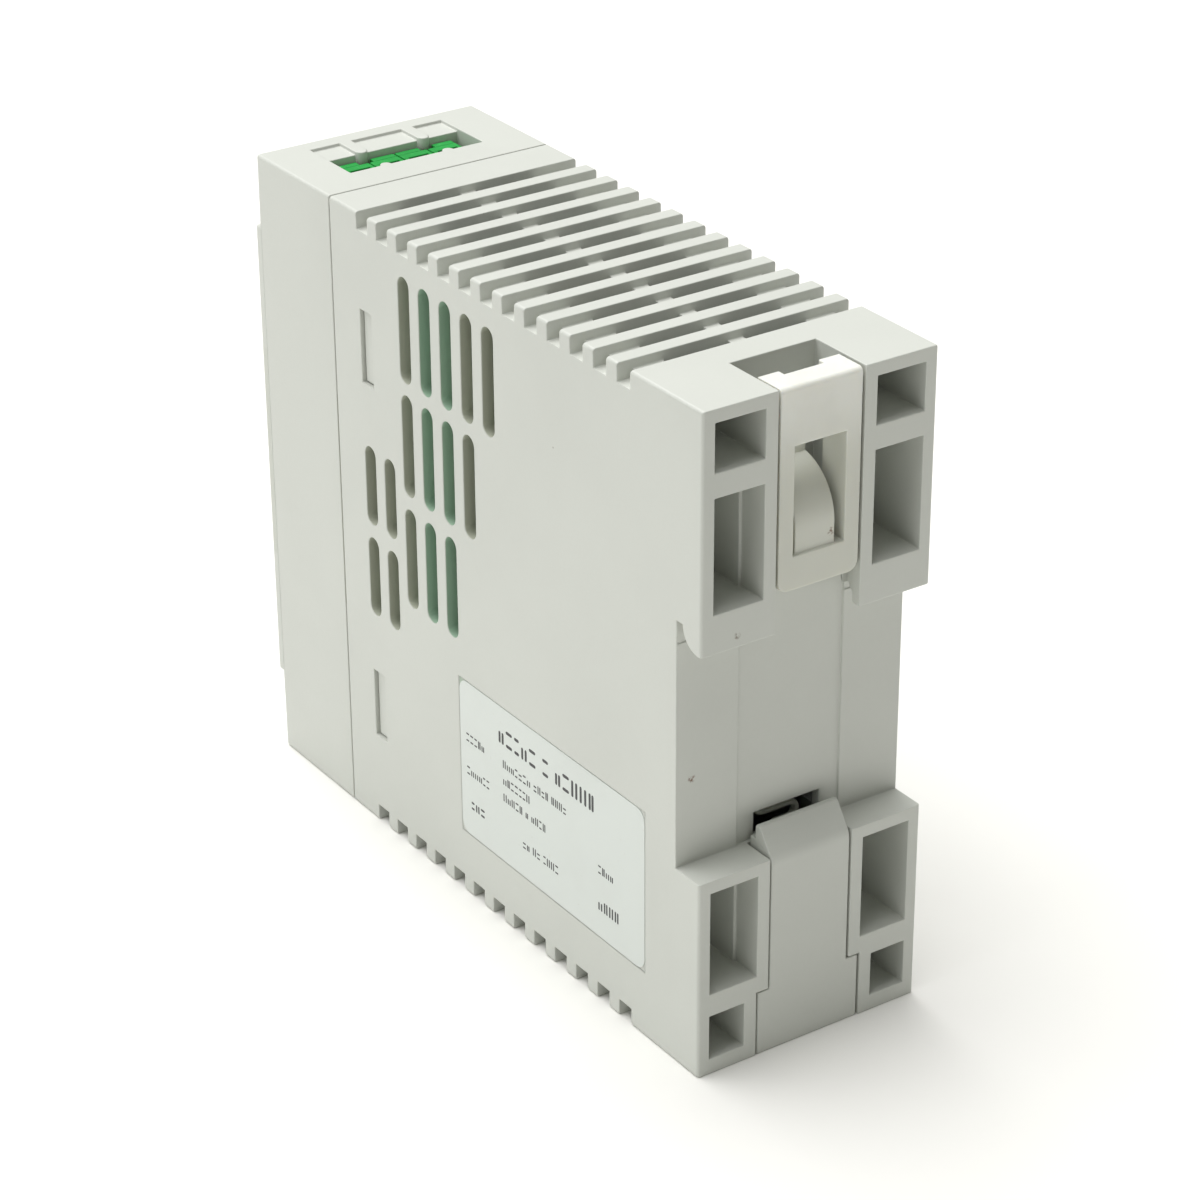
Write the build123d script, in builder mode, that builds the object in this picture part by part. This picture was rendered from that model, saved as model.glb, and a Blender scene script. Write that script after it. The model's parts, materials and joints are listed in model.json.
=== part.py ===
from build123d import *
import os

# DIN rail power supply, 30 W class, in a snap-together plastic case.
# Units are millimetres. X runs across the width, Y from the front panel to the rail, Z up.
# The origin is at the centre of the footprint, on the bottom face.

# ---------------------------------------------------------------- driving sizes
WIDTH = 38.0
HEIGHT = 101.0
DEPTH = 115.5
WALL = 2.0
ROOF = 3.0
EDGE_R = 0.5
CLEARANCE = 0.3

Y_REAR = DEPTH / 2
FASCIA_STEP = 1.5
Y_FASCIA = -DEPTH / 2
Y_FACE = Y_FASCIA + FASCIA_STEP
SEAM_Y = -34.9
SEAM_GAP = 0.25

# Rail side: a 35 mm top-hat rail lies against the channel wall.
CHANNEL_DEPTH = 5.5
CHANNEL_Y = Y_REAR - CHANNEL_DEPTH
RAIL_LIP_SLOT = 1.3
SLOT_RELIEF = 0.05
SEAT_Z = 69.2
HOOK_TIP_Z = 65.9
LOWER_BOSS_Z = 31.3
BOSS_IN = 7.0
BAND_HALF = 8.7
BAND_DEPTH = 0.4
POCKET_DEPTH = 12.0
POCKET_STEP = 0.45
POCKET_STEP_DEPTH = 5.0

# Grilles in the top and the bottom, and the vents that share their pitch.
PITCH = 5.5
SLOT = 3.0
GROOVES = 13
GROOVE_Y0 = -27.4
NOTCH_DEPTH = 2.7
NOTCH_WIDTH = 2.5
LEDGE_DEPTH = 1.4
LEDGE_IN = 11.6
BRIDGE_HALF = 1.25
BRIDGE_DEPTH = 1.2

# Release button for the rail, in its bay behind the two upper hooks.
LATCH_HALF = 6.6
LATCH_Z0 = 71.6
LATCH_REAR = Y_REAR - 0.1
LATCH_PLATE = 4.0
LATCH_ARM = 5.2
BAY_Y = 46.95
BAY_Z0 = 73.4

# Sprung foot that holds the rail's lower edge.
FOOT_HALF = 6.7
FOOT_BASE_HALF = 8.7
FOOT_STEP_Z = 10.4
NOSE_Z = 35.0
NOSE_IN_Y = CHANNEL_Y + 1.45
FOOT_REAR = Y_REAR - 0.1

# Boards.
BOARD = 1.6
FRONT_BOARD_Y = -41.0
MAIN_BOARD_X = 12.6
MAIN_BOARD_Y = (-32.4, 43.6)
MAIN_BOARD_Z = (5.0, 96.0)

# Terminals. Screws face the front; wires enter from the top or the bottom.
BLOCK_Y = (-52.4, -41.0)
BLOCK_HEIGHT = 10.0
BLOCK_INSET = 3.0
OUTPUT_PITCH = 5.08
INPUT_PITCH = 7.62
SCREW_DROP = 7.9
CAGE_TRAVEL = 2.0
OUTPUT_XS = [OUTPUT_PITCH * (i - 1.5) for i in range(4)]
INPUT_XS = [INPUT_PITCH * (i - 1) for i in range(3)]
OUTPUT_Z = HEIGHT - SCREW_DROP
INPUT_Z = SCREW_DROP
TRIM_AT = (6.0, 77.0)
LED_AT = (-6.0, 77.0)

made = []


def keep(builder, name):
    """Names a finished piece and lists it for export."""
    builder.part.label = name
    made.append(builder.part)


def block(x, y, z, mode=Mode.ADD):
    """A box between two limits on each axis."""
    with Locations(((x[0] + x[1]) / 2, (y[0] + y[1]) / 2, (z[0] + z[1]) / 2)):
        Box(x[1] - x[0], y[1] - y[0], z[1] - z[0], mode=mode)


def both_sides(x, y, z, mode=Mode.ADD):
    """The same box on the +X and the -X side."""
    block(x, y, z, mode)
    block((-x[1], -x[0]), y, z, mode)


def section(y):
    """A drawing plane across the object at depth y: its axes are X and Z, and it faces the front."""
    return Plane(origin=(0, y, 0), x_dir=(1, 0, 0), z_dir=(0, -1, 0))


def rod_y(x, z, radius, y0, y1, mode=Mode.ADD):
    """A round bar along Y."""
    with Locations(Location((x, (y0 + y1) / 2, z), (90, 0, 0))):
        Cylinder(radius, y1 - y0, mode=mode)


def rod_x(y, z, radius, x0, x1, mode=Mode.ADD):
    """A round bar along X."""
    with Locations(Location(((x0 + x1) / 2, y, z), (0, 90, 0))):
        Cylinder(radius, x1 - x0, mode=mode)


def grooves(x, z):
    """The same box cut out of every groove of a grille, on the +X and the -X side."""
    ys = [GROOVE_Y0 + SLOT / 2 + k * PITCH for k in range(GROOVES)]
    xs = {(x[0] + x[1]) / 2, -(x[0] + x[1]) / 2}
    with Locations(*[(cx, y, (z[0] + z[1]) / 2) for y in ys for cx in xs]):
        Box(x[1] - x[0], SLOT, z[1] - z[0], mode=Mode.SUBTRACT)


def grille(z_face, inward):
    """Cuts the row of transverse grooves into the top (inward -1) or the bottom (inward +1)."""
    def down_to(depth):
        return sorted((z_face - inward, z_face + inward * depth))

    grooves((-WIDTH / 2 - 1, WIDTH / 2 + 1), down_to(BRIDGE_DEPTH))
    grooves((WIDTH / 2 - NOTCH_WIDTH, WIDTH / 2 + 1), down_to(NOTCH_DEPTH))
    grooves((BRIDGE_HALF, WIDTH / 2 - NOTCH_WIDTH + 0.1), down_to(LEDGE_DEPTH))
    grooves((BRIDGE_HALF, LEDGE_IN), down_to(ROOF + 1))


def vents():
    """Cuts the upright slots through both side walls, in line with the grooves of the grille."""
    rows = [(range(2, 7), 78.6, 95.0), (range(2, 6), 60.6, 76.7), (range(2, 5), 42.4, 58.5),
            (range(0, 2), 51.7, 64.5), (range(0, 2), 36.5, 49.5)]
    with BuildSketch(Plane.YZ) as slots:
        for columns, z0, z1 in rows:
            with Locations(*[(GROOVE_Y0 + SLOT / 2 + k * PITCH, (z0 + z1) / 2) for k in columns]):
                SlotOverall(z1 - z0, SLOT, rotation=90)
    extrude(slots.sketch, amount=WIDTH, both=True, mode=Mode.SUBTRACT)


# ---------------------------------------------------------------- case
SNAP_Y = (-27.3, -24.1)
SNAP_Z = [(74.4, 86.0), (15.3, 26.7)]
LABEL_Y = (-2.6, 45.0)
LABEL_Z = (10.6, 36.6)
LABEL_DEPTH = 0.15
INNER_X = WIDTH / 2 - WALL
RIB_DEPTH = 4.0
RIB_Y = (-30.0, 45.0)
FOOT_SLOT_HALF = 3.2
SPRING_LEDGE_Z = 42.0
STEM_Z = (8.5, 29.5)
inner_rear = CHANNEL_Y - WALL

with BuildPart() as case_body:
    with BuildSketch(section(SEAM_Y)):
        with Locations((0, HEIGHT / 2)):
            RectangleRounded(WIDTH, HEIGHT, EDGE_R)
    extrude(amount=-(CHANNEL_Y - SEAM_Y))
    block((-INNER_X, INNER_X), (SEAM_Y - 1, inner_rear), (ROOF, HEIGHT - ROOF), Mode.SUBTRACT)

    # Upper bosses: their lower end is the hook that the rail's upper lip slips behind.
    with BuildSketch(Plane.YZ.offset(BOSS_IN)):
        with BuildLine():
            Polyline((CHANNEL_Y - 1, SEAT_Z), (CHANNEL_Y - 1, HEIGHT), (Y_REAR, HEIGHT),
                     (Y_REAR, HOOK_TIP_Z))
            ThreePointArc((Y_REAR, HOOK_TIP_Z), (CHANNEL_Y + 2.4, HOOK_TIP_Z + 0.9),
                          (CHANNEL_Y + RAIL_LIP_SLOT, HOOK_TIP_Z + 3.0))
            Polyline((CHANNEL_Y + RAIL_LIP_SLOT, HOOK_TIP_Z + 3.0), (CHANNEL_Y + RAIL_LIP_SLOT, SEAT_Z),
                     (CHANNEL_Y - 1, SEAT_Z))
        make_face()
    extrude(amount=WIDTH / 2 - BOSS_IN)
    mirror(about=Plane.YZ)
    # Lower bosses, narrower below the shoulders of the foot.
    both_sides((BOSS_IN, WIDTH / 2), (CHANNEL_Y - 1, Y_REAR), (FOOT_STEP_Z, LOWER_BOSS_Z))
    both_sides((FOOT_BASE_HALF + CLEARANCE, WIDTH / 2), (CHANNEL_Y - 1, Y_REAR), (0, FOOT_STEP_Z + 0.1))
    # The bosses take the rounding of the shell, along the depth and down the two rear corners.
    with BuildSketch(section(SEAM_Y)):
        with Locations((0, HEIGHT / 2)):
            RectangleRounded(WIDTH, HEIGHT, EDGE_R)
    extrude(amount=-(Y_REAR - SEAM_Y), mode=Mode.INTERSECT)
    with BuildSketch():
        with Locations((0, (SEAM_Y + Y_REAR) / 2 - EDGE_R)):
            RectangleRounded(WIDTH, Y_REAR - SEAM_Y + 2 * EDGE_R, EDGE_R)
    extrude(amount=HEIGHT, mode=Mode.INTERSECT)

    # Moulding pockets in the bosses. They run on into thick corners inside the case,
    # and the tall ones narrow by a small step on the way.
    corner_y = (Y_REAR - POCKET_DEPTH - 1.15, inner_rear + 0.1)
    for z in ((70.7, HEIGHT - ROOF + 0.1), (ROOF - 0.1, 30.3)):
        both_sides((8.0, INNER_X + 0.1), corner_y, z)
    pocket_y = (Y_REAR - POCKET_DEPTH, Y_REAR + 1)
    for z in ((71.7, 88.4), (13.1, 29.3)):
        both_sides((9.0, 17.0), (Y_REAR - POCKET_STEP_DEPTH, Y_REAR + 1), z, Mode.SUBTRACT)
        both_sides((9.0 + POCKET_STEP, 17.0), pocket_y, z, Mode.SUBTRACT)
    both_sides((9.0, 17.0), pocket_y, (92.0, 99.0), Mode.SUBTRACT)
    both_sides((11.1, 17.0), pocket_y, (2.5, 9.5), Mode.SUBTRACT)
    band_y = (CHANNEL_Y - BAND_DEPTH, CHANNEL_Y + 1)
    block((-BAND_HALF, BAND_HALF), band_y, (LOWER_BOSS_Z, SEAT_Z), Mode.SUBTRACT)
    # The wall steps back a hair behind the hooks, so that the rail bears only between them and the foot.
    relief_y = (CHANNEL_Y - SLOT_RELIEF, CHANNEL_Y + RAIL_LIP_SLOT / 2)
    both_sides((BAND_HALF, WIDTH / 2 + 1), relief_y, (HOOK_TIP_Z - 0.2, SEAT_Z), Mode.SUBTRACT)

    # Bay behind the release button, with the grooves that its ribs run in.
    block((-8.6, 8.6), (BAY_Y - 1.6, inner_rear + 0.1), (BAY_Z0 - 1.6, HEIGHT - ROOF + 0.1))
    block((-BOSS_IN, BOSS_IN), (BAY_Y, Y_REAR + 1), (BAY_Z0, HEIGHT + 1), Mode.SUBTRACT)
    both_sides((BOSS_IN - 0.1, 8.0), (53.9, 56.1), (HOOK_TIP_Z - 1, 96.2), Mode.SUBTRACT)

    # Slot for the stem of the foot, wider at its top, and the ledge that the foot's spring hangs from.
    through_wall = (inner_rear - 1, CHANNEL_Y + 1)
    block((-FOOT_SLOT_HALF, FOOT_SLOT_HALF), through_wall, (4.2, LOWER_BOSS_Z + 0.3), Mode.SUBTRACT)
    block((-5.6, 5.6), through_wall, (LOWER_BOSS_Z, NOSE_Z + 0.4), Mode.SUBTRACT)
    block((-6.0, 6.0), (46.6, inner_rear + 0.1), (SPRING_LEDGE_Z, SPRING_LEDGE_Z + 2))

    # Guide ribs for the main board.
    board_rear = MAIN_BOARD_X + BOARD
    for x in ((MAIN_BOARD_X - 1.0, MAIN_BOARD_X - 0.1), (board_rear + 0.1, board_rear + 1.0)):
        block(x, RIB_Y, (ROOF - 0.1, ROOF + RIB_DEPTH))
        block(x, RIB_Y, (HEIGHT - ROOF - RIB_DEPTH, HEIGHT - ROOF + 0.1))

    grille(HEIGHT, -1)
    grille(0, 1)
    vents()
    for z in SNAP_Z:
        block((-WIDTH, WIDTH), SNAP_Y, z, Mode.SUBTRACT)
    block((WIDTH / 2 - LABEL_DEPTH, WIDTH / 2 + 1), LABEL_Y, LABEL_Z, Mode.SUBTRACT)
keep(case_body, "case_body")

# ---------------------------------------------------------------- front cover
COVER_END = SEAM_Y - SEAM_GAP
ENTRY_HALF = 11.5
ENTRY_Y = (-48.6, -41.4)
PAD_Y = -53.2
PAD_DEPTH = 0.5
DIVIDER_X = 5.4
FASCIA_Z = (13.3, 89.4)
FRONT_LABEL = (31.0, 66.0)
FRONT_LABEL_Z = 48.5
LEG_X = (15.4, 16.8)
LIP_PLAY = 0.15
LIP_WALL = 1.4
HOOK_INSET = 0.6


def wire_entry(z_face, inward):
    """Cuts one wire opening with its stepped front edge, and leaves the small dividers and posts standing."""
    def span(a, b):
        return sorted((z_face + inward * a, z_face + inward * b))

    block((-ENTRY_HALF, ENTRY_HALF), ENTRY_Y, span(-1, ROOF + 0.5), Mode.SUBTRACT)
    for x in ((-ENTRY_HALF, -DIVIDER_X - 1), (-DIVIDER_X + 1, DIVIDER_X - 1), (DIVIDER_X + 1, ENTRY_HALF)):
        block(x, (PAD_Y, ENTRY_Y[0] + 0.1), span(-1, PAD_DEPTH), Mode.SUBTRACT)
    for x in (-DIVIDER_X, DIVIDER_X):
        z = span(0, 2.6)
        with Locations((x, ENTRY_Y[0], (z[0] + z[1]) / 2), (x, ENTRY_Y[1], (z[0] + z[1]) / 2)):
            Cylinder(0.9, z[1] - z[0])


with BuildPart() as front_cover:
    with BuildSketch(section(COVER_END)):
        with Locations((0, HEIGHT / 2)):
            RectangleRounded(WIDTH, HEIGHT, EDGE_R)
    extrude(amount=COVER_END - Y_FACE)
    fillet(front_cover.faces().sort_by(Axis.Y)[0].edges(), EDGE_R - 0.1)
    with BuildSketch(section(Y_FACE + 1)):
        with Locations((0, (FASCIA_Z[0] + FASCIA_Z[1]) / 2)):
            RectangleRounded(WIDTH - 0.2, FASCIA_Z[1] - FASCIA_Z[0], EDGE_R)
    extrude(amount=FASCIA_STEP + 1)
    fillet(front_cover.faces().sort_by(Axis.Y)[0].edges(), EDGE_R - 0.1)
    block((-INNER_X, INNER_X), (Y_FACE + WALL, COVER_END + 1), (ROOF, HEIGHT - ROOF), Mode.SUBTRACT)

    # Lip that locates the cover inside the case.
    lip_x = INNER_X - LIP_PLAY
    block((-lip_x, lip_x), (COVER_END - 3, COVER_END + 2.2), (ROOF + LIP_PLAY, HEIGHT - ROOF - LIP_PLAY))
    both_sides((INNER_X - 0.2, INNER_X + 0.1), (COVER_END - 3, COVER_END - 0.2), (ROOF, HEIGHT - ROOF))
    for z in ((ROOF - 0.1, ROOF + 0.3), (HEIGHT - ROOF - 0.3, HEIGHT - ROOF + 0.1)):
        block((-INNER_X, INNER_X), (COVER_END - 3, COVER_END - 0.2), z)
    hollow_x = INNER_X - LIP_WALL
    hollow_z = (ROOF + LIP_WALL, HEIGHT - ROOF - LIP_WALL)
    block((-hollow_x, hollow_x), (COVER_END - 4, COVER_END + 3), hollow_z, Mode.SUBTRACT)

    # Four snap legs, whose hooks fill the windows of the case.
    for z in SNAP_Z:
        hook_z = (z[0] + 0.2, z[1] - 0.2)
        both_sides(LEG_X, (COVER_END - 3, SNAP_Y[1] - 0.2), hook_z)
        both_sides((LEG_X[1] - 0.1, WIDTH / 2 - HOOK_INSET), (SNAP_Y[0] + 0.2, SNAP_Y[1] - 0.2), hook_z)

    wire_entry(HEIGHT, -1)
    wire_entry(0, 1)
    for x in OUTPUT_XS:
        rod_y(x, OUTPUT_Z, 2.1, Y_FASCIA - 1, Y_FACE + WALL + 1, Mode.SUBTRACT)
    for x in INPUT_XS:
        rod_y(x, INPUT_Z, 2.3, Y_FASCIA - 1, Y_FACE + WALL + 1, Mode.SUBTRACT)
    rod_y(*TRIM_AT, 2.4, Y_FASCIA - 1, Y_FACE + WALL + 1, Mode.SUBTRACT)
    rod_y(*LED_AT, 1.6, Y_FASCIA - 1, Y_FACE + WALL + 1, Mode.SUBTRACT)
    block((-FRONT_LABEL[0] / 2, FRONT_LABEL[0] / 2), (Y_FASCIA - 1, Y_FASCIA + LABEL_DEPTH),
          (FRONT_LABEL_Z - FRONT_LABEL[1] / 2, FRONT_LABEL_Z + FRONT_LABEL[1] / 2), Mode.SUBTRACT)
keep(front_cover, "front_cover")

# ---------------------------------------------------------------- labels
LABEL_GAP = 0.1
LABEL_R = 2.0
with BuildPart() as rating_label:
    with BuildSketch(Plane.YZ.offset(WIDTH / 2 - LABEL_DEPTH)):
        with Locations(((LABEL_Y[0] + LABEL_Y[1]) / 2, (LABEL_Z[0] + LABEL_Z[1]) / 2)):
            RectangleRounded(LABEL_Y[1] - LABEL_Y[0] - 2 * LABEL_GAP,
                             LABEL_Z[1] - LABEL_Z[0] - 2 * LABEL_GAP, LABEL_R)
    extrude(amount=LABEL_DEPTH - 0.02)
keep(rating_label, "rating_label")

with BuildPart() as front_label:
    with BuildSketch(section(Y_FASCIA + LABEL_DEPTH)):
        with Locations((0, FRONT_LABEL_Z)):
            RectangleRounded(FRONT_LABEL[0] - 2 * LABEL_GAP, FRONT_LABEL[1] - 2 * LABEL_GAP, LABEL_R)
        for at, radius in ((TRIM_AT, 2.8), (LED_AT, 2.0)):
            with Locations(at):
                Circle(radius, mode=Mode.SUBTRACT)
    extrude(amount=LABEL_DEPTH - 0.02)
keep(front_label, "front_label")

# ---------------------------------------------------------------- rail release button
plate_y = (LATCH_REAR - LATCH_PLATE, LATCH_REAR)
WINDOW_HALF = 4.2
WINDOW_Z = (76.5, 92.4)
TONGUE_X = (-2.9, 3.6)
LATCH_TOP = HEIGHT - 0.1

with BuildPart() as rail_latch:
    block((-LATCH_HALF, LATCH_HALF), plate_y, (LATCH_Z0, LATCH_TOP))
    fillet(rail_latch.edges().filter_by(Axis.Y).group_by(Axis.Z)[0], 1.6)
    fillet(rail_latch.edges().filter_by(Axis.X).group_by(Axis.Z)[-1].sort_by(Axis.Y)[-1], 0.8)
    both_sides((3.2, LATCH_HALF), (LATCH_REAR - LATCH_ARM, plate_y[0] + 0.1), (77.0, LATCH_TOP))
    block((-WINDOW_HALF, WINDOW_HALF), (plate_y[0] - 2, Y_REAR + 1), WINDOW_Z, Mode.SUBTRACT)
    both_sides((LATCH_HALF - 0.1, 7.7), (54.2, 55.8), (73.6, 92.8))
    # Leaf spring: it rises from the window's sill and curls into the bay.
    with BuildSketch(Plane.YZ.offset(TONGUE_X[0])):
        with BuildLine():
            Polyline((55.6, 79.0), (55.6, 76.0), (57.2, 76.0), (57.2, 79.0))
            ThreePointArc((57.2, 79.0), (55.4, 84.6), (50.6, 87.4))
            Polyline((50.6, 87.4), (50.6, 88.9), (49.4, 88.9), (49.4, 86.1))
            ThreePointArc((49.4, 86.1), (54.0, 83.7), (55.6, 79.0))
        make_face()
    extrude(amount=TONGUE_X[1] - TONGUE_X[0])
keep(rail_latch, "rail_latch")

# ---------------------------------------------------------------- rail foot
foot_in = CHANNEL_Y + CLEARANCE
with BuildPart() as rail_foot:
    with BuildSketch(Plane.YZ.offset(-FOOT_HALF)):
        with BuildLine():
            Polyline((foot_in, 0), (foot_in, 32.6), (NOSE_IN_Y, 32.6), (NOSE_IN_Y, NOSE_Z - 0.5))
            ThreePointArc((NOSE_IN_Y, NOSE_Z - 0.5), (NOSE_IN_Y + 0.45, NOSE_Z - 0.05),
                          (NOSE_IN_Y + 1.1, NOSE_Z - 0.2))
            Line((NOSE_IN_Y + 1.1, NOSE_Z - 0.2), (FOOT_REAR - 0.7, LOWER_BOSS_Z + 0.5))
            ThreePointArc((FOOT_REAR - 0.7, LOWER_BOSS_Z + 0.5), (FOOT_REAR - 0.15, LOWER_BOSS_Z - 0.5),
                          (FOOT_REAR, LOWER_BOSS_Z - 1.8))
            Polyline((FOOT_REAR, LOWER_BOSS_Z - 1.8), (FOOT_REAR, 0), (foot_in, 0))
        make_face()
    extrude(amount=2 * FOOT_HALF)
    both_sides((FOOT_HALF - 0.5, FOOT_BASE_HALF), (foot_in, FOOT_REAR), (0, FOOT_STEP_Z - 0.2))
    # Stem through the wall, and the head that keeps the foot in its slot.
    block((-2.9, 2.9), (49.0, foot_in + 0.1), STEM_Z)
    block((-5.3, 5.3), (48.3, 50.0), STEM_Z)
    # Screwdriver slot in the sole, for pulling the foot down.
    block((-3.0, 3.0), (54.2, 55.6), (-1, 3.0), Mode.SUBTRACT)
keep(rail_foot, "rail_foot")

SPRING_BARS = 5
SPRING_STRIP = 0.9
SPRING_HALF = 4.0
SPRING_DEPTH = 1.2
spring_step = (SPRING_LEDGE_Z - STEM_Z[1]) / SPRING_BARS
with BuildPart() as foot_spring:
    with BuildSketch(section(49.7)):
        for i in range(SPRING_BARS):
            z = STEM_Z[1] + spring_step * (i + 0.5)
            with Locations((0, z)):
                Rectangle(2 * SPRING_HALF, SPRING_STRIP)
            if i:
                side = 1 if i % 2 else -1
                with Locations((side * (SPRING_HALF - SPRING_STRIP / 2), z - spring_step / 2)):
                    Rectangle(SPRING_STRIP, spring_step + SPRING_STRIP)
        for z in (STEM_Z[1] + spring_step / 4, SPRING_LEDGE_Z - spring_step / 4):
            with Locations((0, z)):
                Rectangle(1.6, spring_step / 2)
    extrude(amount=SPRING_DEPTH)
keep(foot_spring, "foot_spring")

# ---------------------------------------------------------------- boards
LINK_PIN = 0.7
LINK_X = 9.6
OUTPUT_LINK_ZS = [82.0 + 3 * i for i in range(4)]
INPUT_LINK_ZS = [12.0 + 4 * i for i in range(3)]
front_board_rear = FRONT_BOARD_Y + BOARD

with BuildPart() as front_board:
    with BuildSketch(section(front_board_rear)):
        with Locations((0, HEIGHT / 2)):
            Rectangle(30.0, 92.0)
            with GridLocations(24.0, 60.0, 2, 2):
                Circle(1.3, mode=Mode.SUBTRACT)
    extrude(amount=BOARD)
keep(front_board, "front_board")

with BuildPart() as main_board:
    with BuildSketch(Plane.YZ.offset(MAIN_BOARD_X)):
        with Locations((sum(MAIN_BOARD_Y) / 2, sum(MAIN_BOARD_Z) / 2)):
            Rectangle(MAIN_BOARD_Y[1] - MAIN_BOARD_Y[0], MAIN_BOARD_Z[1] - MAIN_BOARD_Z[0])
            with GridLocations(66.0, 80.0, 2, 2):
                Circle(1.6, mode=Mode.SUBTRACT)
    extrude(amount=BOARD)
keep(main_board, "main_board")

with BuildPart() as board_link_pins:
    for z in OUTPUT_LINK_ZS + INPUT_LINK_ZS:
        height = (z - LINK_PIN / 2, z + LINK_PIN / 2)
        block((LINK_X - LINK_PIN, LINK_X), (front_board_rear, -29.3), height)
        block((LINK_X - LINK_PIN, MAIN_BOARD_X), (-30.0, -29.3), height)
keep(board_link_pins, "board_link_pins")

# ---------------------------------------------------------------- terminals
HEAD_R = 1.85
SHANK_R = 1.2
front = BLOCK_Y[0]
head_y = (front + 0.6, front + 2.3)
cavity_y = (front + 3.2, front + 10.4)
tongue_y = (front + 6.7, front + 7.1)
cage_y = (front + 5.6, front + 10.0)
cage_window_y = (front + 6.6, front + 9.2)
CAGE_HALF_X = 2.0
CAGE_HALF_Z = 2.3


def terminal_block(name, xs, pitch, screw_z, up):
    """One terminal housing. Wires enter at its top (up +1) or its bottom (up -1)."""
    half = pitch * len(xs) / 2 + (0.8 if pitch < 6 else 0.0)
    z_entry = screw_z + up * (SCREW_DROP - BLOCK_INSET)
    z_far = z_entry - up * BLOCK_HEIGHT
    with BuildPart() as housing:
        block((-half, half), BLOCK_Y, sorted((z_entry, z_far)))
        fillet(housing.edges().filter_by(Axis.X).group_by(Axis.Y)[0], 0.8)
        for x in xs:
            rod_y(x, screw_z, HEAD_R + 0.15, front - 1, front + 2.6, Mode.SUBTRACT)
            rod_y(x, screw_z, SHANK_R + 0.2, front, cavity_y[0] + 0.1, Mode.SUBTRACT)
            cavity_z = (screw_z - CAGE_HALF_Z - 0.3, screw_z + CAGE_HALF_Z + 0.3)
            block((x - 2.15, x + 2.15), cavity_y, cavity_z, Mode.SUBTRACT)
            wire_y = (tongue_y[1] - 0.1, cage_window_y[1] + 0.4)
            block((x - 1.7, x + 1.7), wire_y, sorted((screw_z, z_entry + up)), Mode.SUBTRACT)
    keep(housing, name)


def terminal_contacts(name, xs, screw_z, up):
    """The fixed contact of each pole: a tongue through the clamp's window, a foot and a pin to the board."""
    z_foot = screw_z - up * (CAGE_HALF_Z + 0.3)
    with BuildPart() as contacts:
        for x in xs:
            block((x - 1.1, x + 1.1), tongue_y, sorted((z_foot, screw_z + up * 2.0)))
            block((x - 0.5, x + 0.5), (tongue_y[0], cavity_y[1]), sorted((z_foot, z_foot + up * 0.25)))
    keep(contacts, name)


def terminal_screw(name, x, z):
    """A slotted clamp screw, its head to the front."""
    with BuildPart() as screw:
        rod_y(x, z, HEAD_R, *head_y)
        fillet(screw.edges().sort_by(Axis.Y)[0], 0.3)
        rod_y(x, z, SHANK_R, head_y[1] - 0.1, tongue_y[0] - 0.2)
        block((x - 2.0, x + 2.0), (head_y[0] - 1, head_y[0] + 0.9), (z - 0.3, z + 0.3), Mode.SUBTRACT)
    keep(screw, name)


def terminal_clamp(name, x, z):
    """A rising clamp: a square ring round the wire, threaded on the screw."""
    with BuildPart() as clamp:
        block((x - CAGE_HALF_X, x + CAGE_HALF_X), cage_y, (z - CAGE_HALF_Z, z + CAGE_HALF_Z))
        block((x - 1.4, x + 1.4), cage_window_y, (z - 5, z + 5), Mode.SUBTRACT)
        rod_y(x, z, SHANK_R + 0.06, cage_y[0] - 1, cage_window_y[0] + 0.1, Mode.SUBTRACT)
    keep(clamp, name)


for side, xs, pitch, screw_z, up in (("output", OUTPUT_XS, OUTPUT_PITCH, OUTPUT_Z, 1),
                                     ("input", INPUT_XS, INPUT_PITCH, INPUT_Z, -1)):
    terminal_block(f"{side}_terminal_block", xs, pitch, screw_z, up)
    terminal_contacts(f"{side}_terminal_contacts", xs, screw_z, up)
    for number, x in enumerate(xs, 1):
        terminal_screw(f"{side}_screw_{number}", x, screw_z)
        terminal_clamp(f"{side}_clamp_{number}", x, screw_z)

# ---------------------------------------------------------------- controls on the front board
ROTOR_Y = (Y_FASCIA + 1.1, FRONT_BOARD_Y - 4.4)
with BuildPart() as trim_pot_body:
    x, z = TRIM_AT
    block((x - 4.8, x + 4.8), (FRONT_BOARD_Y - 4.8, FRONT_BOARD_Y), (z - 4.8, z + 4.8))
    rod_y(x, z, 3.1, FRONT_BOARD_Y - 5.8, FRONT_BOARD_Y - 2.4, Mode.SUBTRACT)
keep(trim_pot_body, "trim_pot_body")

with BuildPart() as trim_pot_rotor:
    rod_y(x, z, 3.03, FRONT_BOARD_Y - 4.9, FRONT_BOARD_Y - 2.5)
    rod_y(x, z, 2.0, ROTOR_Y[0], FRONT_BOARD_Y - 4.8)
    fillet(trim_pot_rotor.edges().sort_by(Axis.Y)[0], 0.3)
    block((x - 2.5, x + 2.5), (ROTOR_Y[0] - 1, ROTOR_Y[0] + 1.0), (z - 0.4, z + 0.4), Mode.SUBTRACT)
keep(trim_pot_rotor, "trim_pot_rotor")

with BuildPart() as status_led:
    x, z = LED_AT
    rod_y(x, z, 1.9, FRONT_BOARD_Y - 1.0, FRONT_BOARD_Y)
    rod_y(x, z, 1.5, FRONT_BOARD_Y - 4.6, FRONT_BOARD_Y - 0.9)
    fillet(status_led.edges().sort_by(Axis.Y)[0], 1.2)
keep(status_led, "status_led")

with BuildPart() as light_pipe:
    rod_y(x, z, 1.5, Y_FASCIA + 0.1, FRONT_BOARD_Y - 4.8)
    fillet(light_pipe.edges().sort_by(Axis.Y)[0], 0.6)
    rod_y(x, z, 2.2, Y_FACE + WALL + 0.1, Y_FACE + WALL + 1.1)
keep(light_pipe, "light_pipe")

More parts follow.
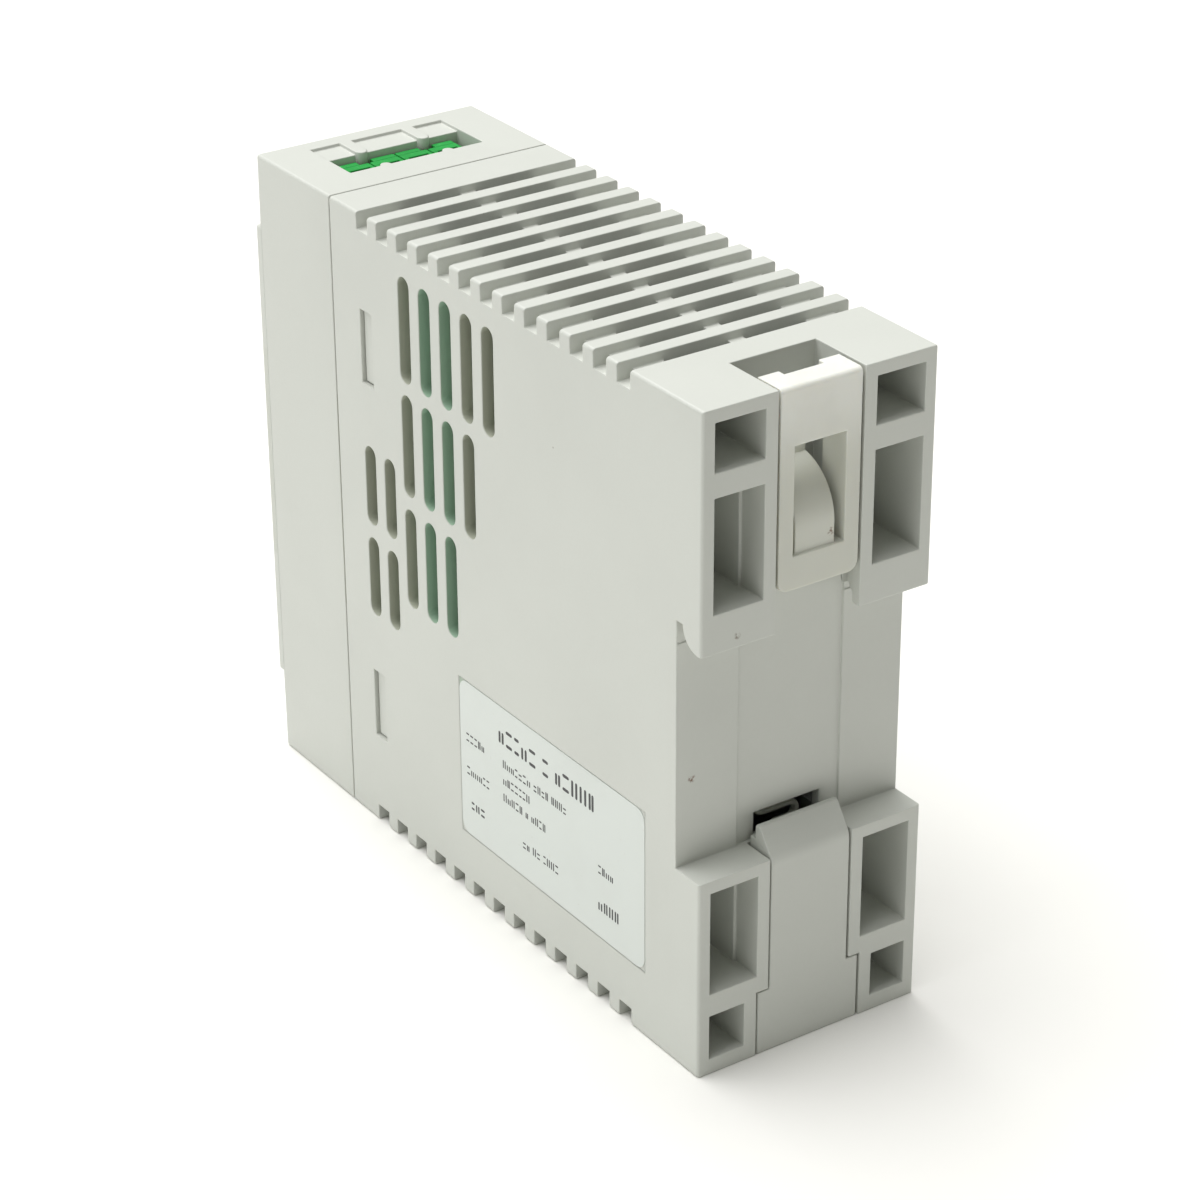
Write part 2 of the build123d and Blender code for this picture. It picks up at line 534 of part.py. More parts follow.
# ---------------------------------------------------------------- parts on the main board
# Each part stands on the board's -X face. u is its height above that face.
LEAD = 0.35
LEAD_SHARE = 2.4


def above(u):
    return MAIN_BOARD_X - u


def leads(points, length):
    for y, z in points:
        rod_x(y, z, LEAD, above(length), above(0))


def can(name_can, name_sleeve, places, radius, height):
    """Electrolytic capacitors: an aluminium can with leads, in a plastic sleeve."""
    with BuildPart() as cans:
        for y, z in places:
            rod_x(y, z, radius - 0.3, above(height), above(0.6))
            leads([(y, z - radius / LEAD_SHARE), (y, z + radius / LEAD_SHARE)], 0.7)
    keep(cans, name_can)
    with BuildPart() as sleeves:
        for y, z in places:
            rod_x(y, z, radius, above(height + 0.35), above(0.8))
            rod_x(y, z, radius - 0.3, above(height), above(-1), Mode.SUBTRACT)
            rod_x(y, z, radius - 1.3, above(height + 1), above(height - 1), Mode.SUBTRACT)
    keep(sleeves, name_sleeve)


def disc(name, y, z, radius, thickness, stand):
    """A coated disc part on two leads, its axis along Y."""
    with BuildPart() as part:
        rod_centre = above(stand + radius)
        rod_y(rod_centre, z, radius, y - thickness / 2, y + thickness / 2)
        fillet(part.edges().filter_by(GeomType.CIRCLE), thickness / 2 - 0.3)
        leads([(y - 0.8, z - 2.5), (y + 0.8, z + 2.5)], stand + 1.6)
    keep(part, name)


FUSE_Y = -25.0
FUSE_U = 5.0
with BuildPart() as fuse_tube:
    with Locations((above(FUSE_U), FUSE_Y, 34.0)):
        Cylinder(2.3, 12.0)
        Cylinder(1.9, 12.0, mode=Mode.SUBTRACT)
        Cylinder(0.15, 12.0)
keep(fuse_tube, "fuse_tube")
with BuildPart() as fuse_caps:
    for z in (26.0, 42.0):
        with Locations((above(FUSE_U), FUSE_Y, z)):
            Cylinder(2.6, 4.0)
keep(fuse_caps, "fuse_caps")
with BuildPart() as fuse_clips:
    for z in (26.0, 42.0):
        block((above(8.2), above(0)), (FUSE_Y - 3.2, FUSE_Y + 3.2), (z - 1.8, z + 1.8))
        block((above(9), above(0.6)), (FUSE_Y - 2.65, FUSE_Y + 2.65), (z - 3, z + 3), Mode.SUBTRACT)
keep(fuse_clips, "fuse_clips")

disc("varistor", -14.0, 13.0, 5.0, 4.0, 2.5)
disc("inrush_thermistor", -6.0, 13.0, 4.5, 4.2, 2.5)
disc("y_capacitor", -8.5, 55.0, 4.0, 3.4, 2.0)

with BuildPart() as x_capacitor:
    block((above(15.0), above(0.5)), (-19.2, -10.8), (20.0, 38.0))
    fillet(x_capacitor.edges().filter_by(Axis.X), 0.6)
    leads([(-15.0, 21.8), (-15.0, 36.2)], 0.6)
keep(x_capacitor, "x_capacitor")

CHOKE_AT = (above(8.0), -1.0, 30.0)
CHOKE_R = 6.5
with BuildPart() as choke_core:
    with Locations(Location(CHOKE_AT, (0, 90, 0))):
        Torus(CHOKE_R, 1.9)
keep(choke_core, "choke_core")
with BuildPart() as choke_windings:
    with Locations(Location(CHOKE_AT, (0, 90, 0))):
        Torus(CHOKE_R, 2.7)
        Torus(CHOKE_R, 2.05, mode=Mode.SUBTRACT)
        Box(20.0, 4.0, 8.0, mode=Mode.SUBTRACT)
    leads([(-6.0, 33.0), (4.0, 33.0), (-6.0, 27.0), (4.0, 27.0)], 5.7)
keep(choke_windings, "choke_windings")

with BuildPart() as bridge_rectifier:
    block((above(14.0), above(3.0)), (3.6, 7.4), (7.2, 21.8))
    chamfer(bridge_rectifier.edges().filter_by(Axis.Y).group_by(Axis.X)[0].sort_by(Axis.Z)[-1], 2.4)
    leads([(5.5, 9.0 + 3.67 * i) for i in range(4)], 3.1)
keep(bridge_rectifier, "bridge_rectifier")

BULK_AT = (20.5, 18.5)
OUTPUT_CAPS_AT = [(10.5 - 11.5 * i, 79.0) for i in range(3)]
BULK_R = 9.0
OUTPUT_CAP_R = 5.0
can("bulk_capacitor", "bulk_capacitor_sleeve", [BULK_AT], BULK_R, 25.0)
can("output_capacitors", "output_capacitor_sleeves", OUTPUT_CAPS_AT, OUTPUT_CAP_R, 20.0)

# Transformer: wound bobbin with a pair of E cores closed round it.
TR_Y = (3.0, 25.0)
TR_Z = (38.5, 62.5)
TR_U = (2.5, 21.5)
tr_y = sum(TR_Y) / 2
tr_z = sum(TR_Z) / 2
tr_u = sum(TR_U) / 2
LEG = 3.5
with BuildPart() as transformer_core:
    block((above(tr_u + 4), above(tr_u - 4)), TR_Y, TR_Z)
    for z in ((TR_Z[0] + LEG, tr_z - 3.2), (tr_z + 3.2, TR_Z[1] - LEG)):
        block((above(30), above(-5)), (TR_Y[0] + 3.2, TR_Y[1] - 3.2), z, Mode.SUBTRACT)
keep(transformer_core, "transformer_core")
with BuildPart() as transformer_bobbin:
    flange_z = (TR_Z[0] + LEG + 0.2, TR_Z[1] - LEG - 0.2)
    for y in ((TR_Y[0] + 3.3, TR_Y[0] + 4.3), (TR_Y[1] - 4.3, TR_Y[1] - 3.3)):
        block((above(TR_U[1] - 0.5), above(TR_U[0] + 0.5)), y, flange_z)
    block((above(tr_u + 5), above(tr_u - 5)), (TR_Y[0] + 3.3, TR_Y[1] - 3.3), (tr_z - 4.0, tr_z + 4.0))
    block((above(tr_u + 4.1), above(tr_u - 4.1)), (0, 30), (tr_z - 3.3, tr_z + 3.3), Mode.SUBTRACT)
    for y in (TR_Y[0] + 3.8, TR_Y[1] - 3.8):
        leads([(y, tr_z - 7.0 + 3.5 * i) for i in range(5)], TR_U[0] + 0.6)
keep(transformer_bobbin, "transformer_bobbin")
with BuildPart() as transformer_winding:
    with BuildSketch(section(TR_Y[1] - 4.4)):
        with Locations((above(tr_u), tr_z)):
            RectangleRounded(TR_U[1] - TR_U[0] - 2.4, flange_z[1] - flange_z[0] - 1.2, 2.5)
            Rectangle(10.2, 8.2, mode=Mode.SUBTRACT)
    extrude(amount=TR_Y[1] - TR_Y[0] - 8.8)
keep(transformer_winding, "transformer_winding")

# Heat sinks with the parts that are screwed to them.
SINK = 2.0
PACKAGE = 4.4
TAB_SCREW_U = 20.5
SINK_TOP_U = 25.5
PRIMARY_SCREW_Z = 36.0
SECONDARY_SCREW_Y = 33.0
LEAD_PITCH = 2.54
PRIMARY_SINK_Y = 37.0
SECONDARY_SINK_Z = 66.5
with BuildPart() as primary_heatsink:
    block((above(SINK_TOP_U), above(0.4)), (PRIMARY_SINK_Y, PRIMARY_SINK_Y + SINK), (10.0, 46.0))
    block((above(SINK_TOP_U), above(23.5)), (PRIMARY_SINK_Y, PRIMARY_SINK_Y + 5.0), (10.0, 46.0))
    rod_y(above(TAB_SCREW_U), PRIMARY_SCREW_Z, 1.6, PRIMARY_SINK_Y - 1, PRIMARY_SINK_Y + 3, Mode.SUBTRACT)
keep(primary_heatsink, "primary_heatsink")
with BuildPart() as switching_transistor:
    block((above(17.2), above(7.5)), (PRIMARY_SINK_Y - PACKAGE, PRIMARY_SINK_Y - 0.05), (31.0, 41.0))
    block((above(23.6), above(17.1)), (PRIMARY_SINK_Y - 1.35, PRIMARY_SINK_Y - 0.05), (31.0, 41.0))
    rod_y(above(TAB_SCREW_U), PRIMARY_SCREW_Z, 1.8, PRIMARY_SINK_Y - 5, PRIMARY_SINK_Y + 1, Mode.SUBTRACT)
    leads([(PRIMARY_SINK_Y - 2.6, PRIMARY_SCREW_Z + LEAD_PITCH * (i - 1)) for i in range(3)], 7.6)
keep(switching_transistor, "switching_transistor")
with BuildPart() as secondary_heatsink:
    block((above(SINK_TOP_U), above(0.4)), (12.0, 42.0), (SECONDARY_SINK_Z, SECONDARY_SINK_Z + SINK))
    block((above(SINK_TOP_U), above(23.5)), (12.0, 42.0), (SECONDARY_SINK_Z - 3.0, SECONDARY_SINK_Z + SINK))
    with Locations((above(TAB_SCREW_U), SECONDARY_SCREW_Y, SECONDARY_SINK_Z + 1)):
        Cylinder(1.6, 5, mode=Mode.SUBTRACT)
keep(secondary_heatsink, "secondary_heatsink")
diode_z = SECONDARY_SINK_Z + SINK + 0.05
with BuildPart() as output_diode:
    block((above(17.2), above(7.5)), (28.0, 38.0), (diode_z, diode_z + PACKAGE))
    block((above(23.6), above(17.1)), (28.0, 38.0), (diode_z, diode_z + 1.3))
    with Locations((above(TAB_SCREW_U), SECONDARY_SCREW_Y, diode_z)):
        Cylinder(1.8, 8, mode=Mode.SUBTRACT)
    leads([(SECONDARY_SCREW_Y + LEAD_PITCH * (i - 1), diode_z + 2.6) for i in range(3)], 7.6)
keep(output_diode, "output_diode")
with BuildPart() as heatsink_screws:
    screw_x = above(TAB_SCREW_U)
    rod_y(screw_x, PRIMARY_SCREW_Z, 1.45, PRIMARY_SINK_Y - 1.4, PRIMARY_SINK_Y + 3.4)
    rod_y(screw_x, PRIMARY_SCREW_Z, 2.8, PRIMARY_SINK_Y - 3.3, PRIMARY_SINK_Y - 1.35)
    block((screw_x - 2, screw_x + 2), (PRIMARY_SINK_Y - 4, PRIMARY_SINK_Y - 2.4), (35.6, 36.4), Mode.SUBTRACT)
    with Locations((screw_x, SECONDARY_SCREW_Y, SECONDARY_SINK_Z + 1.0)):
        Cylinder(1.45, 5.0)
    with Locations((screw_x, SECONDARY_SCREW_Y, diode_z + 2.3)):
        Cylinder(2.8, 2.0)
    block((screw_x - 2, screw_x + 2), (32.6, 33.4), (diode_z + 2.5, diode_z + 4), Mode.SUBTRACT)
keep(heatsink_screws, "heatsink_screws")

# Output choke: a wound drum.
DRUM_AT = (24.5, 83.5)
with BuildPart() as output_choke_core:
    rod_x(*DRUM_AT, 3.0, above(16.0), above(1.0))
    rod_x(*DRUM_AT, 6.5, above(16.0), above(14.4))
    rod_x(*DRUM_AT, 6.5, above(2.6), above(1.0))
keep(output_choke_core, "output_choke_core")
with BuildPart() as output_choke_winding:
    rod_x(*DRUM_AT, 5.9, above(14.3), above(2.7))
    rod_x(*DRUM_AT, 3.1, above(15.0), above(2.0), Mode.SUBTRACT)
keep(output_choke_winding, "output_choke_winding")

# Small parts of the control circuit.
with BuildPart() as optocoupler:
    block((above(4.2), above(0.7)), (-21.5, -15.0), (59.0, 63.6))
    leads([(y, z) for y in (-22.0, -14.5) for z in (60.0, 62.6)], 2.4)
    block((above(2.6), above(2.0)), (-22.3, -14.2), (59.6, 60.4))
    block((above(2.6), above(2.0)), (-22.3, -14.2), (62.2, 63.0))
keep(optocoupler, "optocoupler")
with BuildPart() as controller_chip:
    block((above(4.2), above(0.7)), (-24.0, -17.6), (47.0, 56.4))
    for i in range(4):
        z = 47.9 + 2.54 * i
        block((above(2.6), above(2.0)), (-24.9, -16.7), (z - 0.5, z + 0.5))
        leads([(-24.7, z), (-16.9, z)], 2.4)
keep(controller_chip, "controller_chip")
with BuildPart() as snubber_resistors:
    for y in (-4.0, 0.0):
        with Locations((above(2.4), y, 48.0)):
            Cylinder(1.7, 7.5)
        for z in (43.0, 53.0):
            leads([(y, z)], 2.75)
        with Locations((above(2.4), y, 48.0)):
            Cylinder(LEAD, 10.6)
keep(snubber_resistors, "snubber_resistors")

# Solder on the far face of the main board, one cone for each lead of the larger parts.
SOLDER_AT = (
    [(-29.6, z) for z in OUTPUT_LINK_ZS + INPUT_LINK_ZS]
    + [(y, z + side * OUTPUT_CAP_R / LEAD_SHARE) for y, z in OUTPUT_CAPS_AT for side in (-1, 1)]
    + [(BULK_AT[0], BULK_AT[1] + side * BULK_R / LEAD_SHARE) for side in (-1, 1)]
    + [(y, tr_z - 7.0 + 3.5 * i) for y in (TR_Y[0] + 3.8, TR_Y[1] - 3.8) for i in range(5)]
    + [(y, 47.9 + 2.54 * i) for y in (-24.7, -16.9) for i in range(4)]
    + [(y, z) for y in (-22.0, -14.5) for z in (60.0, 62.6)]
    + [(y, z) for y in (-4.0, 0.0) for z in (43.0, 53.0)]
    + [(PRIMARY_SINK_Y - 2.6, PRIMARY_SCREW_Z + LEAD_PITCH * (i - 1)) for i in range(3)]
    + [(SECONDARY_SCREW_Y + LEAD_PITCH * (i - 1), diode_z + 2.6) for i in range(3)]
    + [(5.5, 9.0 + 3.67 * i) for i in range(4)]
    + [(-15.0, 21.8), (-15.0, 36.2), (-25.0, 26.0), (-25.0, 42.0)]
)
with BuildPart() as solder_joints:
    with Locations(*[Location((MAIN_BOARD_X + BOARD + 0.55, y, z), (0, 90, 0)) for y, z in SOLDER_AT]):
        Cone(1.05, 0.35, 1.1)
keep(solder_joints, "solder_joints")

# ---------------------------------------------------------------- export
os.makedirs("parts", exist_ok=True)
for part in made:
    export_step(part, f"parts/{part.label}.step")
print(len(made), "parts")
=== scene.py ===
import json
import math
import random

import bmesh
import bpy
from mathutils import Matrix, Vector


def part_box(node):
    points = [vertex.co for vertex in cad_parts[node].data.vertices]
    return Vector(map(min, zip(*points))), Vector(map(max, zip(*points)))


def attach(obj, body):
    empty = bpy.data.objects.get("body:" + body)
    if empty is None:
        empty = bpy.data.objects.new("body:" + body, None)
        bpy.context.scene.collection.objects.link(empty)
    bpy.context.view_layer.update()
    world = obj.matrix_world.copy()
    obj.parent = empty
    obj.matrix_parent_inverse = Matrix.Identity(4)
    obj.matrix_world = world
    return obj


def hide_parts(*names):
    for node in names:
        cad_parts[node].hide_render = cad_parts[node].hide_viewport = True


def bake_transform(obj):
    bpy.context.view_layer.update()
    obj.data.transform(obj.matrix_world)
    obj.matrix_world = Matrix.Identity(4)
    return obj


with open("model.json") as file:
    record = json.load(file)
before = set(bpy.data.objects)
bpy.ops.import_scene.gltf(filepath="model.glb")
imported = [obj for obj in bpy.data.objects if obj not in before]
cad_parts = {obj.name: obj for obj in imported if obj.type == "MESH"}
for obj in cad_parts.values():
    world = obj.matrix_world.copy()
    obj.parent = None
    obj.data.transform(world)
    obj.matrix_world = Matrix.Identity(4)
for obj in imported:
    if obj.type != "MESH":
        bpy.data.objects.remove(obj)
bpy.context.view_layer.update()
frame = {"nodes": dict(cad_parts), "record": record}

# DIN rail power supply: looks, printed labels, board details, floor, lights and camera.
# Everything is in metres, in the frame of the CAD model.
MM = 0.001
nodes = frame["nodes"]


# ------------------------------------------------------------------ materials
# Sockets of a Mix node that mixes colours. Their names are shared with its other sockets.
MIX_MASK, MIX_UNDER, MIX_OVER, MIX_RESULT = 0, 6, 7, 2
# A wave texture of scale 1 repeats at this distance.
WAVE_REPEAT = math.pi / 10
# Rays and limits of the ambient occlusion behind the painted shade in corners and recesses.
CREVICE_SAMPLES = 6
CREVICE_LIMITS = (0.85, 0.25)
# The part of a spot's reach over which it keeps its full strength.
SPOT_CORE = 0.3


class Surface:
    """A procedural material, built up in layers of colour, gloss and relief."""

    def __init__(self, name, color, roughness, **constants):
        self.material = bpy.data.materials.new(name)
        self.material.use_nodes = True
        self.nodes = self.material.node_tree.nodes
        self.links = self.material.node_tree.links
        self.bsdf = self.nodes["Principled BSDF"]
        self.place = self.nodes.new("ShaderNodeTexCoord").outputs["Object"]
        self.bsdf.inputs["Base Color"].default_value = (*color, 1)
        self.bsdf.inputs["Roughness"].default_value = roughness
        for socket, value in constants.items():
            self.bsdf.inputs[socket.replace("_", " ")].default_value = value
        self.color = (*color, 1)

    def feed(self, socket, value):
        """Links a socket to a socket, or sets it."""
        if isinstance(value, bpy.types.NodeSocket):
            self.links.new(value, socket)
        else:
            socket.default_value = value

    def stretched(self, stretch):
        if stretch is None:
            return self.place
        node = self.nodes.new("ShaderNodeMapping")
        self.links.new(self.place, node.inputs["Vector"])
        node.inputs["Scale"].default_value = stretch
        return node.outputs["Vector"]

    def noise(self, size, detail=2.0, stretch=None):
        """Soft blotches about one size across, from 0 to 1."""
        node = self.nodes.new("ShaderNodeTexNoise")
        self.links.new(self.stretched(stretch), node.inputs["Vector"])
        node.inputs["Scale"].default_value = 1 / size
        node.inputs["Detail"].default_value = detail
        return node.outputs["Fac"]

    def cells(self, size):
        """Distance to scattered points, in cells of one size."""
        node = self.nodes.new("ShaderNodeTexVoronoi")
        self.links.new(self.place, node.inputs["Vector"])
        node.inputs["Scale"].default_value = 1 / size
        return node.outputs["Distance"]

    def bands(self, size, direction):
        """Parallel ridges one size apart, square to a direction."""
        node = self.nodes.new("ShaderNodeTexWave")
        self.links.new(self.place, node.inputs["Vector"])
        node.bands_direction = direction
        node.inputs["Scale"].default_value = WAVE_REPEAT / size
        return node.outputs["Fac"]

    def crevice_shade(self, reach):
        """Painted shade: near 1 in corners and recesses, where ambient occlusion finds them
        shaded, 0 in the open.
        """
        node = self.nodes.new("ShaderNodeAmbientOcclusion")
        node.samples = CREVICE_SAMPLES
        node.inputs["Distance"].default_value = reach
        return self.ramp(node.outputs["AO"], *CREVICE_LIMITS)

    def near(self, centre, reach):
        """1 at a point of the object, fading to 0 at a distance."""
        node = self.nodes.new("ShaderNodeVectorMath")
        node.operation = "DISTANCE"
        self.links.new(self.place, node.inputs[0])
        node.inputs[1].default_value = centre
        return self.ramp(node.outputs["Value"], reach, reach * SPOT_CORE)

    def along(self, axis, zero, one):
        """0 to 1 between two places along an axis of the object. For X both sides count alike."""
        node = self.nodes.new("ShaderNodeSeparateXYZ")
        self.links.new(self.place, node.inputs["Vector"])
        value = node.outputs[axis]
        if axis == "X":
            size = self.nodes.new("ShaderNodeMath")
            size.operation = "ABSOLUTE"
            self.links.new(value, size.inputs[0])
            value = size.outputs["Value"]
        return self.ramp(value, zero, one)

    def ramp(self, value, zero, one):
        """Maps a value to 0 to 1 between two limits, smoothly."""
        node = self.nodes.new("ShaderNodeMapRange")
        node.interpolation_type = "SMOOTHSTEP"
        self.links.new(value, node.inputs["Value"])
        node.inputs["From Min"].default_value = zero
        node.inputs["From Max"].default_value = one
        return node.outputs["Result"]

    def combine(self, operation, a, b):
        node = self.nodes.new("ShaderNodeMath")
        node.operation = operation
        self.feed(node.inputs[0], a)
        self.feed(node.inputs[1], b)
        return node.outputs["Value"]

    def times(self, a, b):
        return self.combine("MULTIPLY", a, b)

    def either(self, a, b):
        return self.combine("MAXIMUM", a, b)

    def tint(self, color, mask, amount=1.0):
        """Lays another colour over the present one, where the mask is."""
        node = self.nodes.new("ShaderNodeMix")
        node.data_type = "RGBA"
        self.feed(node.inputs[MIX_MASK], self.times(mask, amount) if amount != 1.0 else mask)
        self.feed(node.inputs[MIX_UNDER], self.color)
        node.inputs[MIX_OVER].default_value = (*color, 1)
        self.color = node.outputs[MIX_RESULT]
        self.links.new(self.color, self.bsdf.inputs["Base Color"])

    def stain(self, mark, grain, limits, amount):
        """A soft, broken spot of one colour. A mark is (centre, reach, colour)."""
        centre, reach, color = mark
        broken = self.ramp(self.noise(grain, 3.0), *limits)
        self.tint(color, self.times(self.near(centre, reach), broken), amount)

    def gloss(self, mask, low, high):
        """Roughness from low to high, as the mask goes from 0 to 1."""
        node = self.nodes.new("ShaderNodeMapRange")
        self.links.new(mask, node.inputs["Value"])
        node.inputs["To Min"].default_value = low
        node.inputs["To Max"].default_value = high
        self.links.new(node.outputs["Result"], self.bsdf.inputs["Roughness"])

    def bump(self, height, depth):
        """Relief of a given depth, over any relief laid before."""
        node = self.nodes.new("ShaderNodeBump")
        node.inputs["Distance"].default_value = depth
        self.links.new(height, node.inputs["Height"])
        normal = self.bsdf.inputs["Normal"]
        if normal.is_linked:
            self.links.new(normal.links[0].from_socket, node.inputs["Normal"])
        self.links.new(node.outputs["Normal"], normal)


def shade(color, factor):
    return tuple(c * factor for c in color)


# Places where the masks of painted shade and painted green light inside the side vents fade from
# 0 to 1: through the thickness of the case's wall, round the field of vents, and round the
#         columns over the board's bare green strip.
VENT_OUTER_SKIN = (18.97 * MM, 18.75 * MM)
VENT_INNER_SKIN = (16.5 * MM, 16.9 * MM)
VENT_REAR = (9.5 * MM, 9.0 * MM)
VENT_TOP = (95.8 * MM, 95.4 * MM)
VENT_BOTTOM = (34 * MM, 35 * MM)
VENT_BEHIND_SNAPS = (-24.0 * MM, -23.6 * MM)
VENT_BELOW_SNAPS = (70 * MM, 69 * MM)
STRIP_FRONT = (-13.5 * MM, -11 * MM)
STRIP_REAR = (0.0, -2.5 * MM)


def vent_wall_shading(s):
    """Masks for the walls inside the side vents: all of them, and those over the green strip.
    All get painted shade, and those over the strip also get a painted green reflection of light
    off the board."""
    inside = s.times(s.along("X", *VENT_OUTER_SKIN), s.along("X", *VENT_INNER_SKIN))
    field = s.times(s.along("Y", *VENT_REAR), s.along("Z", *VENT_TOP))
    clear_of_snaps = s.either(s.along("Y", *VENT_BEHIND_SNAPS), s.along("Z", *VENT_BELOW_SNAPS))
    lower = s.times(clear_of_snaps, s.along("Z", *VENT_BOTTOM))
    walls = s.times(s.times(inside, field), lower)
    strip = s.times(s.along("Y", *STRIP_FRONT), s.along("Y", *STRIP_REAR))
    return walls, s.times(walls, strip)


def housing_plastic(name, marks=()):
    """Light grey moulded plastic with fine grain, specks, dust and painted shade in corners,
    painted shade in the vents.
    """
    base = (0.61, 0.628, 0.585)
    s = Surface(name, base, 0.42)
    s.tint(shade(base, 0.93), s.ramp(s.noise(28 * MM, 4.0), 0.4, 0.7), 0.5)
    s.tint(shade(base, 0.9), s.noise(0.5 * MM), 0.25)
    # Dust and painted shade in corners and recesses, where ambient occlusion finds them shaded.
    s.tint((0.42, 0.41, 0.35), s.times(s.crevice_shade(2.5 * MM), s.noise(3 * MM, 3.0)), 0.35)
    walls, board_lit_walls = vent_wall_shading(s)
    # Painted shade on the walls inside the side vents, and a painted green reflection of the
    # board on those over its bare strip.
    s.tint((0.43, 0.45, 0.36), walls, 0.9)
    s.tint((0.32, 0.5, 0.37), board_lit_walls, 0.8)
    specks = s.times(s.ramp(s.cells(9 * MM), 0.022, 0.012), s.ramp(s.noise(14 * MM), 0.5, 0.6))
    s.tint((0.2, 0.18, 0.14), specks, 0.8)
    for mark in marks:
        s.stain(mark, 0.5 * MM, (0.42, 0.6), 0.9)
    s.gloss(s.noise(0.6 * MM, 3.0), 0.36, 0.52)
    s.bump(s.noise(0.22 * MM, 3.0), 0.010 * MM)
    s.bump(s.noise(6 * MM), 0.02 * MM)
    return s.material


def acetal(name, marks=()):
    """White, slightly waxy, translucent plastic, darker towards the bottom, below the face that
    is pressed.
    """
    base = (0.82, 0.83, 0.78)
    s = Surface(name, base, 0.36, Subsurface_Weight=0.3, Subsurface_Scale=1.2 * MM,
                Subsurface_Radius=(1.0, 0.9, 0.7))
    # Darker towards the bottom, from 99 mm down to 86 mm.
    s.tint((0.6, 0.61, 0.54), s.along("Z", 99 * MM, 86 * MM), 0.8)
    s.tint((0.6, 0.6, 0.54), s.ramp(s.noise(9 * MM, 4.0), 0.4, 0.75), 0.3)
    # Dust and painted shade in corners and recesses, where ambient occlusion finds them shaded.
    s.tint((0.5, 0.47, 0.38), s.times(s.crevice_shade(1.5 * MM), s.noise(2 * MM, 3.0)), 0.35)
    for mark in marks:
        s.stain(mark, 0.6 * MM, (0.45, 0.62), 0.85)
    s.gloss(s.noise(1.2 * MM, 3.0), 0.3, 0.46)
    s.bump(s.noise(0.5 * MM, 3.0), 0.006 * MM)
    s.bump(s.noise(5 * MM), 0.03 * MM)
    return s.material


def vinyl(name):
    """White satin label film."""
    s = Surface(name, (0.66, 0.7, 0.67), 0.34, Coat_Weight=0.1, Coat_Roughness=0.3)
    s.tint((0.62, 0.65, 0.62), s.ramp(s.noise(11 * MM, 3.0), 0.45, 0.75), 0.4)
    s.tint((0.55, 0.54, 0.48), s.ramp(s.noise(0.9 * MM, 2.0), 0.68, 0.78), 0.25)
    s.gloss(s.noise(4 * MM, 3.0), 0.26, 0.38)
    s.bump(s.noise(9 * MM, 2.0), 0.03 * MM)
    s.bump(s.noise(0.35 * MM, 2.0), 0.003 * MM)
    return s.material


def ink(name, color):
    """Printing ink, a little thin in places."""
    s = Surface(name, color, 0.42)
    s.tint(shade(color, 2.2), s.ramp(s.noise(0.35 * MM, 3.0), 0.55, 0.75), 0.6)
    s.gloss(s.noise(0.5 * MM), 0.36, 0.5)
    s.bump(s.noise(0.2 * MM), 0.002 * MM)
    return s.material


def solder_mask(name):
    """Green lacquer over glass weave, darker over the copper planes."""
    s = Surface(name, (0.04, 0.3, 0.15), 0.4, Specular_IOR_Level=0.2)
    s.tint((0.03, 0.2, 0.1), s.ramp(s.noise(7 * MM, 1.0), 0.45, 0.6), 0.6)
    s.bump(s.bands(0.5 * MM, "Y"), 0.004 * MM)
    s.bump(s.bands(0.5 * MM, "Z"), 0.004 * MM)
    s.gloss(s.noise(3 * MM), 0.22, 0.4)
    return s.material


def moulded(name, color, low=0.3, high=0.45, grain=0.4, depth=0.008, **constants):
    """Plain moulded or coated part: a little mottling and a fine grain."""
    s = Surface(name, color, (low + high) / 2, **constants)
    s.tint(shade(color, 0.78), s.ramp(s.noise(5 * MM, 3.0), 0.4, 0.7), 0.5)
    worn = tuple(min(1.0, 0.05 + c * 1.25) for c in color)
    s.tint(worn, s.ramp(s.noise(1.1 * MM, 2.0), 0.55, 0.8), 0.4)
    s.gloss(s.noise(1.5 * MM, 3.0), low, high)
    s.bump(s.noise(grain * MM, 3.0), depth * MM)
    return s.material


def metal(name, color, low=0.22, high=0.42, stretch=None, tarnish=0.35):
    """Bare or plated metal with fine streaks and a dull, slightly stained film."""
    s = Surface(name, color, (low + high) / 2, Metallic=1.0)
    s.tint(shade(color, 0.62), s.ramp(s.noise(2.2 * MM, 4.0), 0.45, 0.75), tarnish)
    s.gloss(s.noise(0.4 * MM, 3.0, stretch), low, high)
    s.bump(s.noise(0.18 * MM, 3.0, stretch), 0.004 * MM)
    return s.material


def wound(name, color, pitch, direction, metallic=0.6):
    """Turns of wire or layers of tape, side by side."""
    s = Surface(name, color, 0.32, Metallic=metallic, Coat_Weight=0.4, Coat_Roughness=0.2)
    s.tint(shade(color, 0.3), s.ramp(s.bands(pitch * MM, direction), 0.35, 0.05), 0.8)
    s.tint(shade(color, 0.7), s.noise(3 * MM, 3.0), 0.5)
    s.bump(s.bands(pitch * MM, direction), 0.25 * pitch * MM)
    s.gloss(s.noise(1 * MM), 0.25, 0.42)
    return s.material


def clear(name, color, roughness):
    """Glass or acrylic, very slightly uneven."""
    s = Surface(name, color, roughness, Transmission_Weight=0.9, IOR=1.49)
    s.tint(shade(color, 0.85), s.ramp(s.noise(3 * MM, 3.0), 0.5, 0.8), 0.5)
    s.gloss(s.noise(2 * MM, 3.0), roughness, roughness + 0.1)
    s.bump(s.noise(1 * MM), 0.003 * MM)
    return s.material


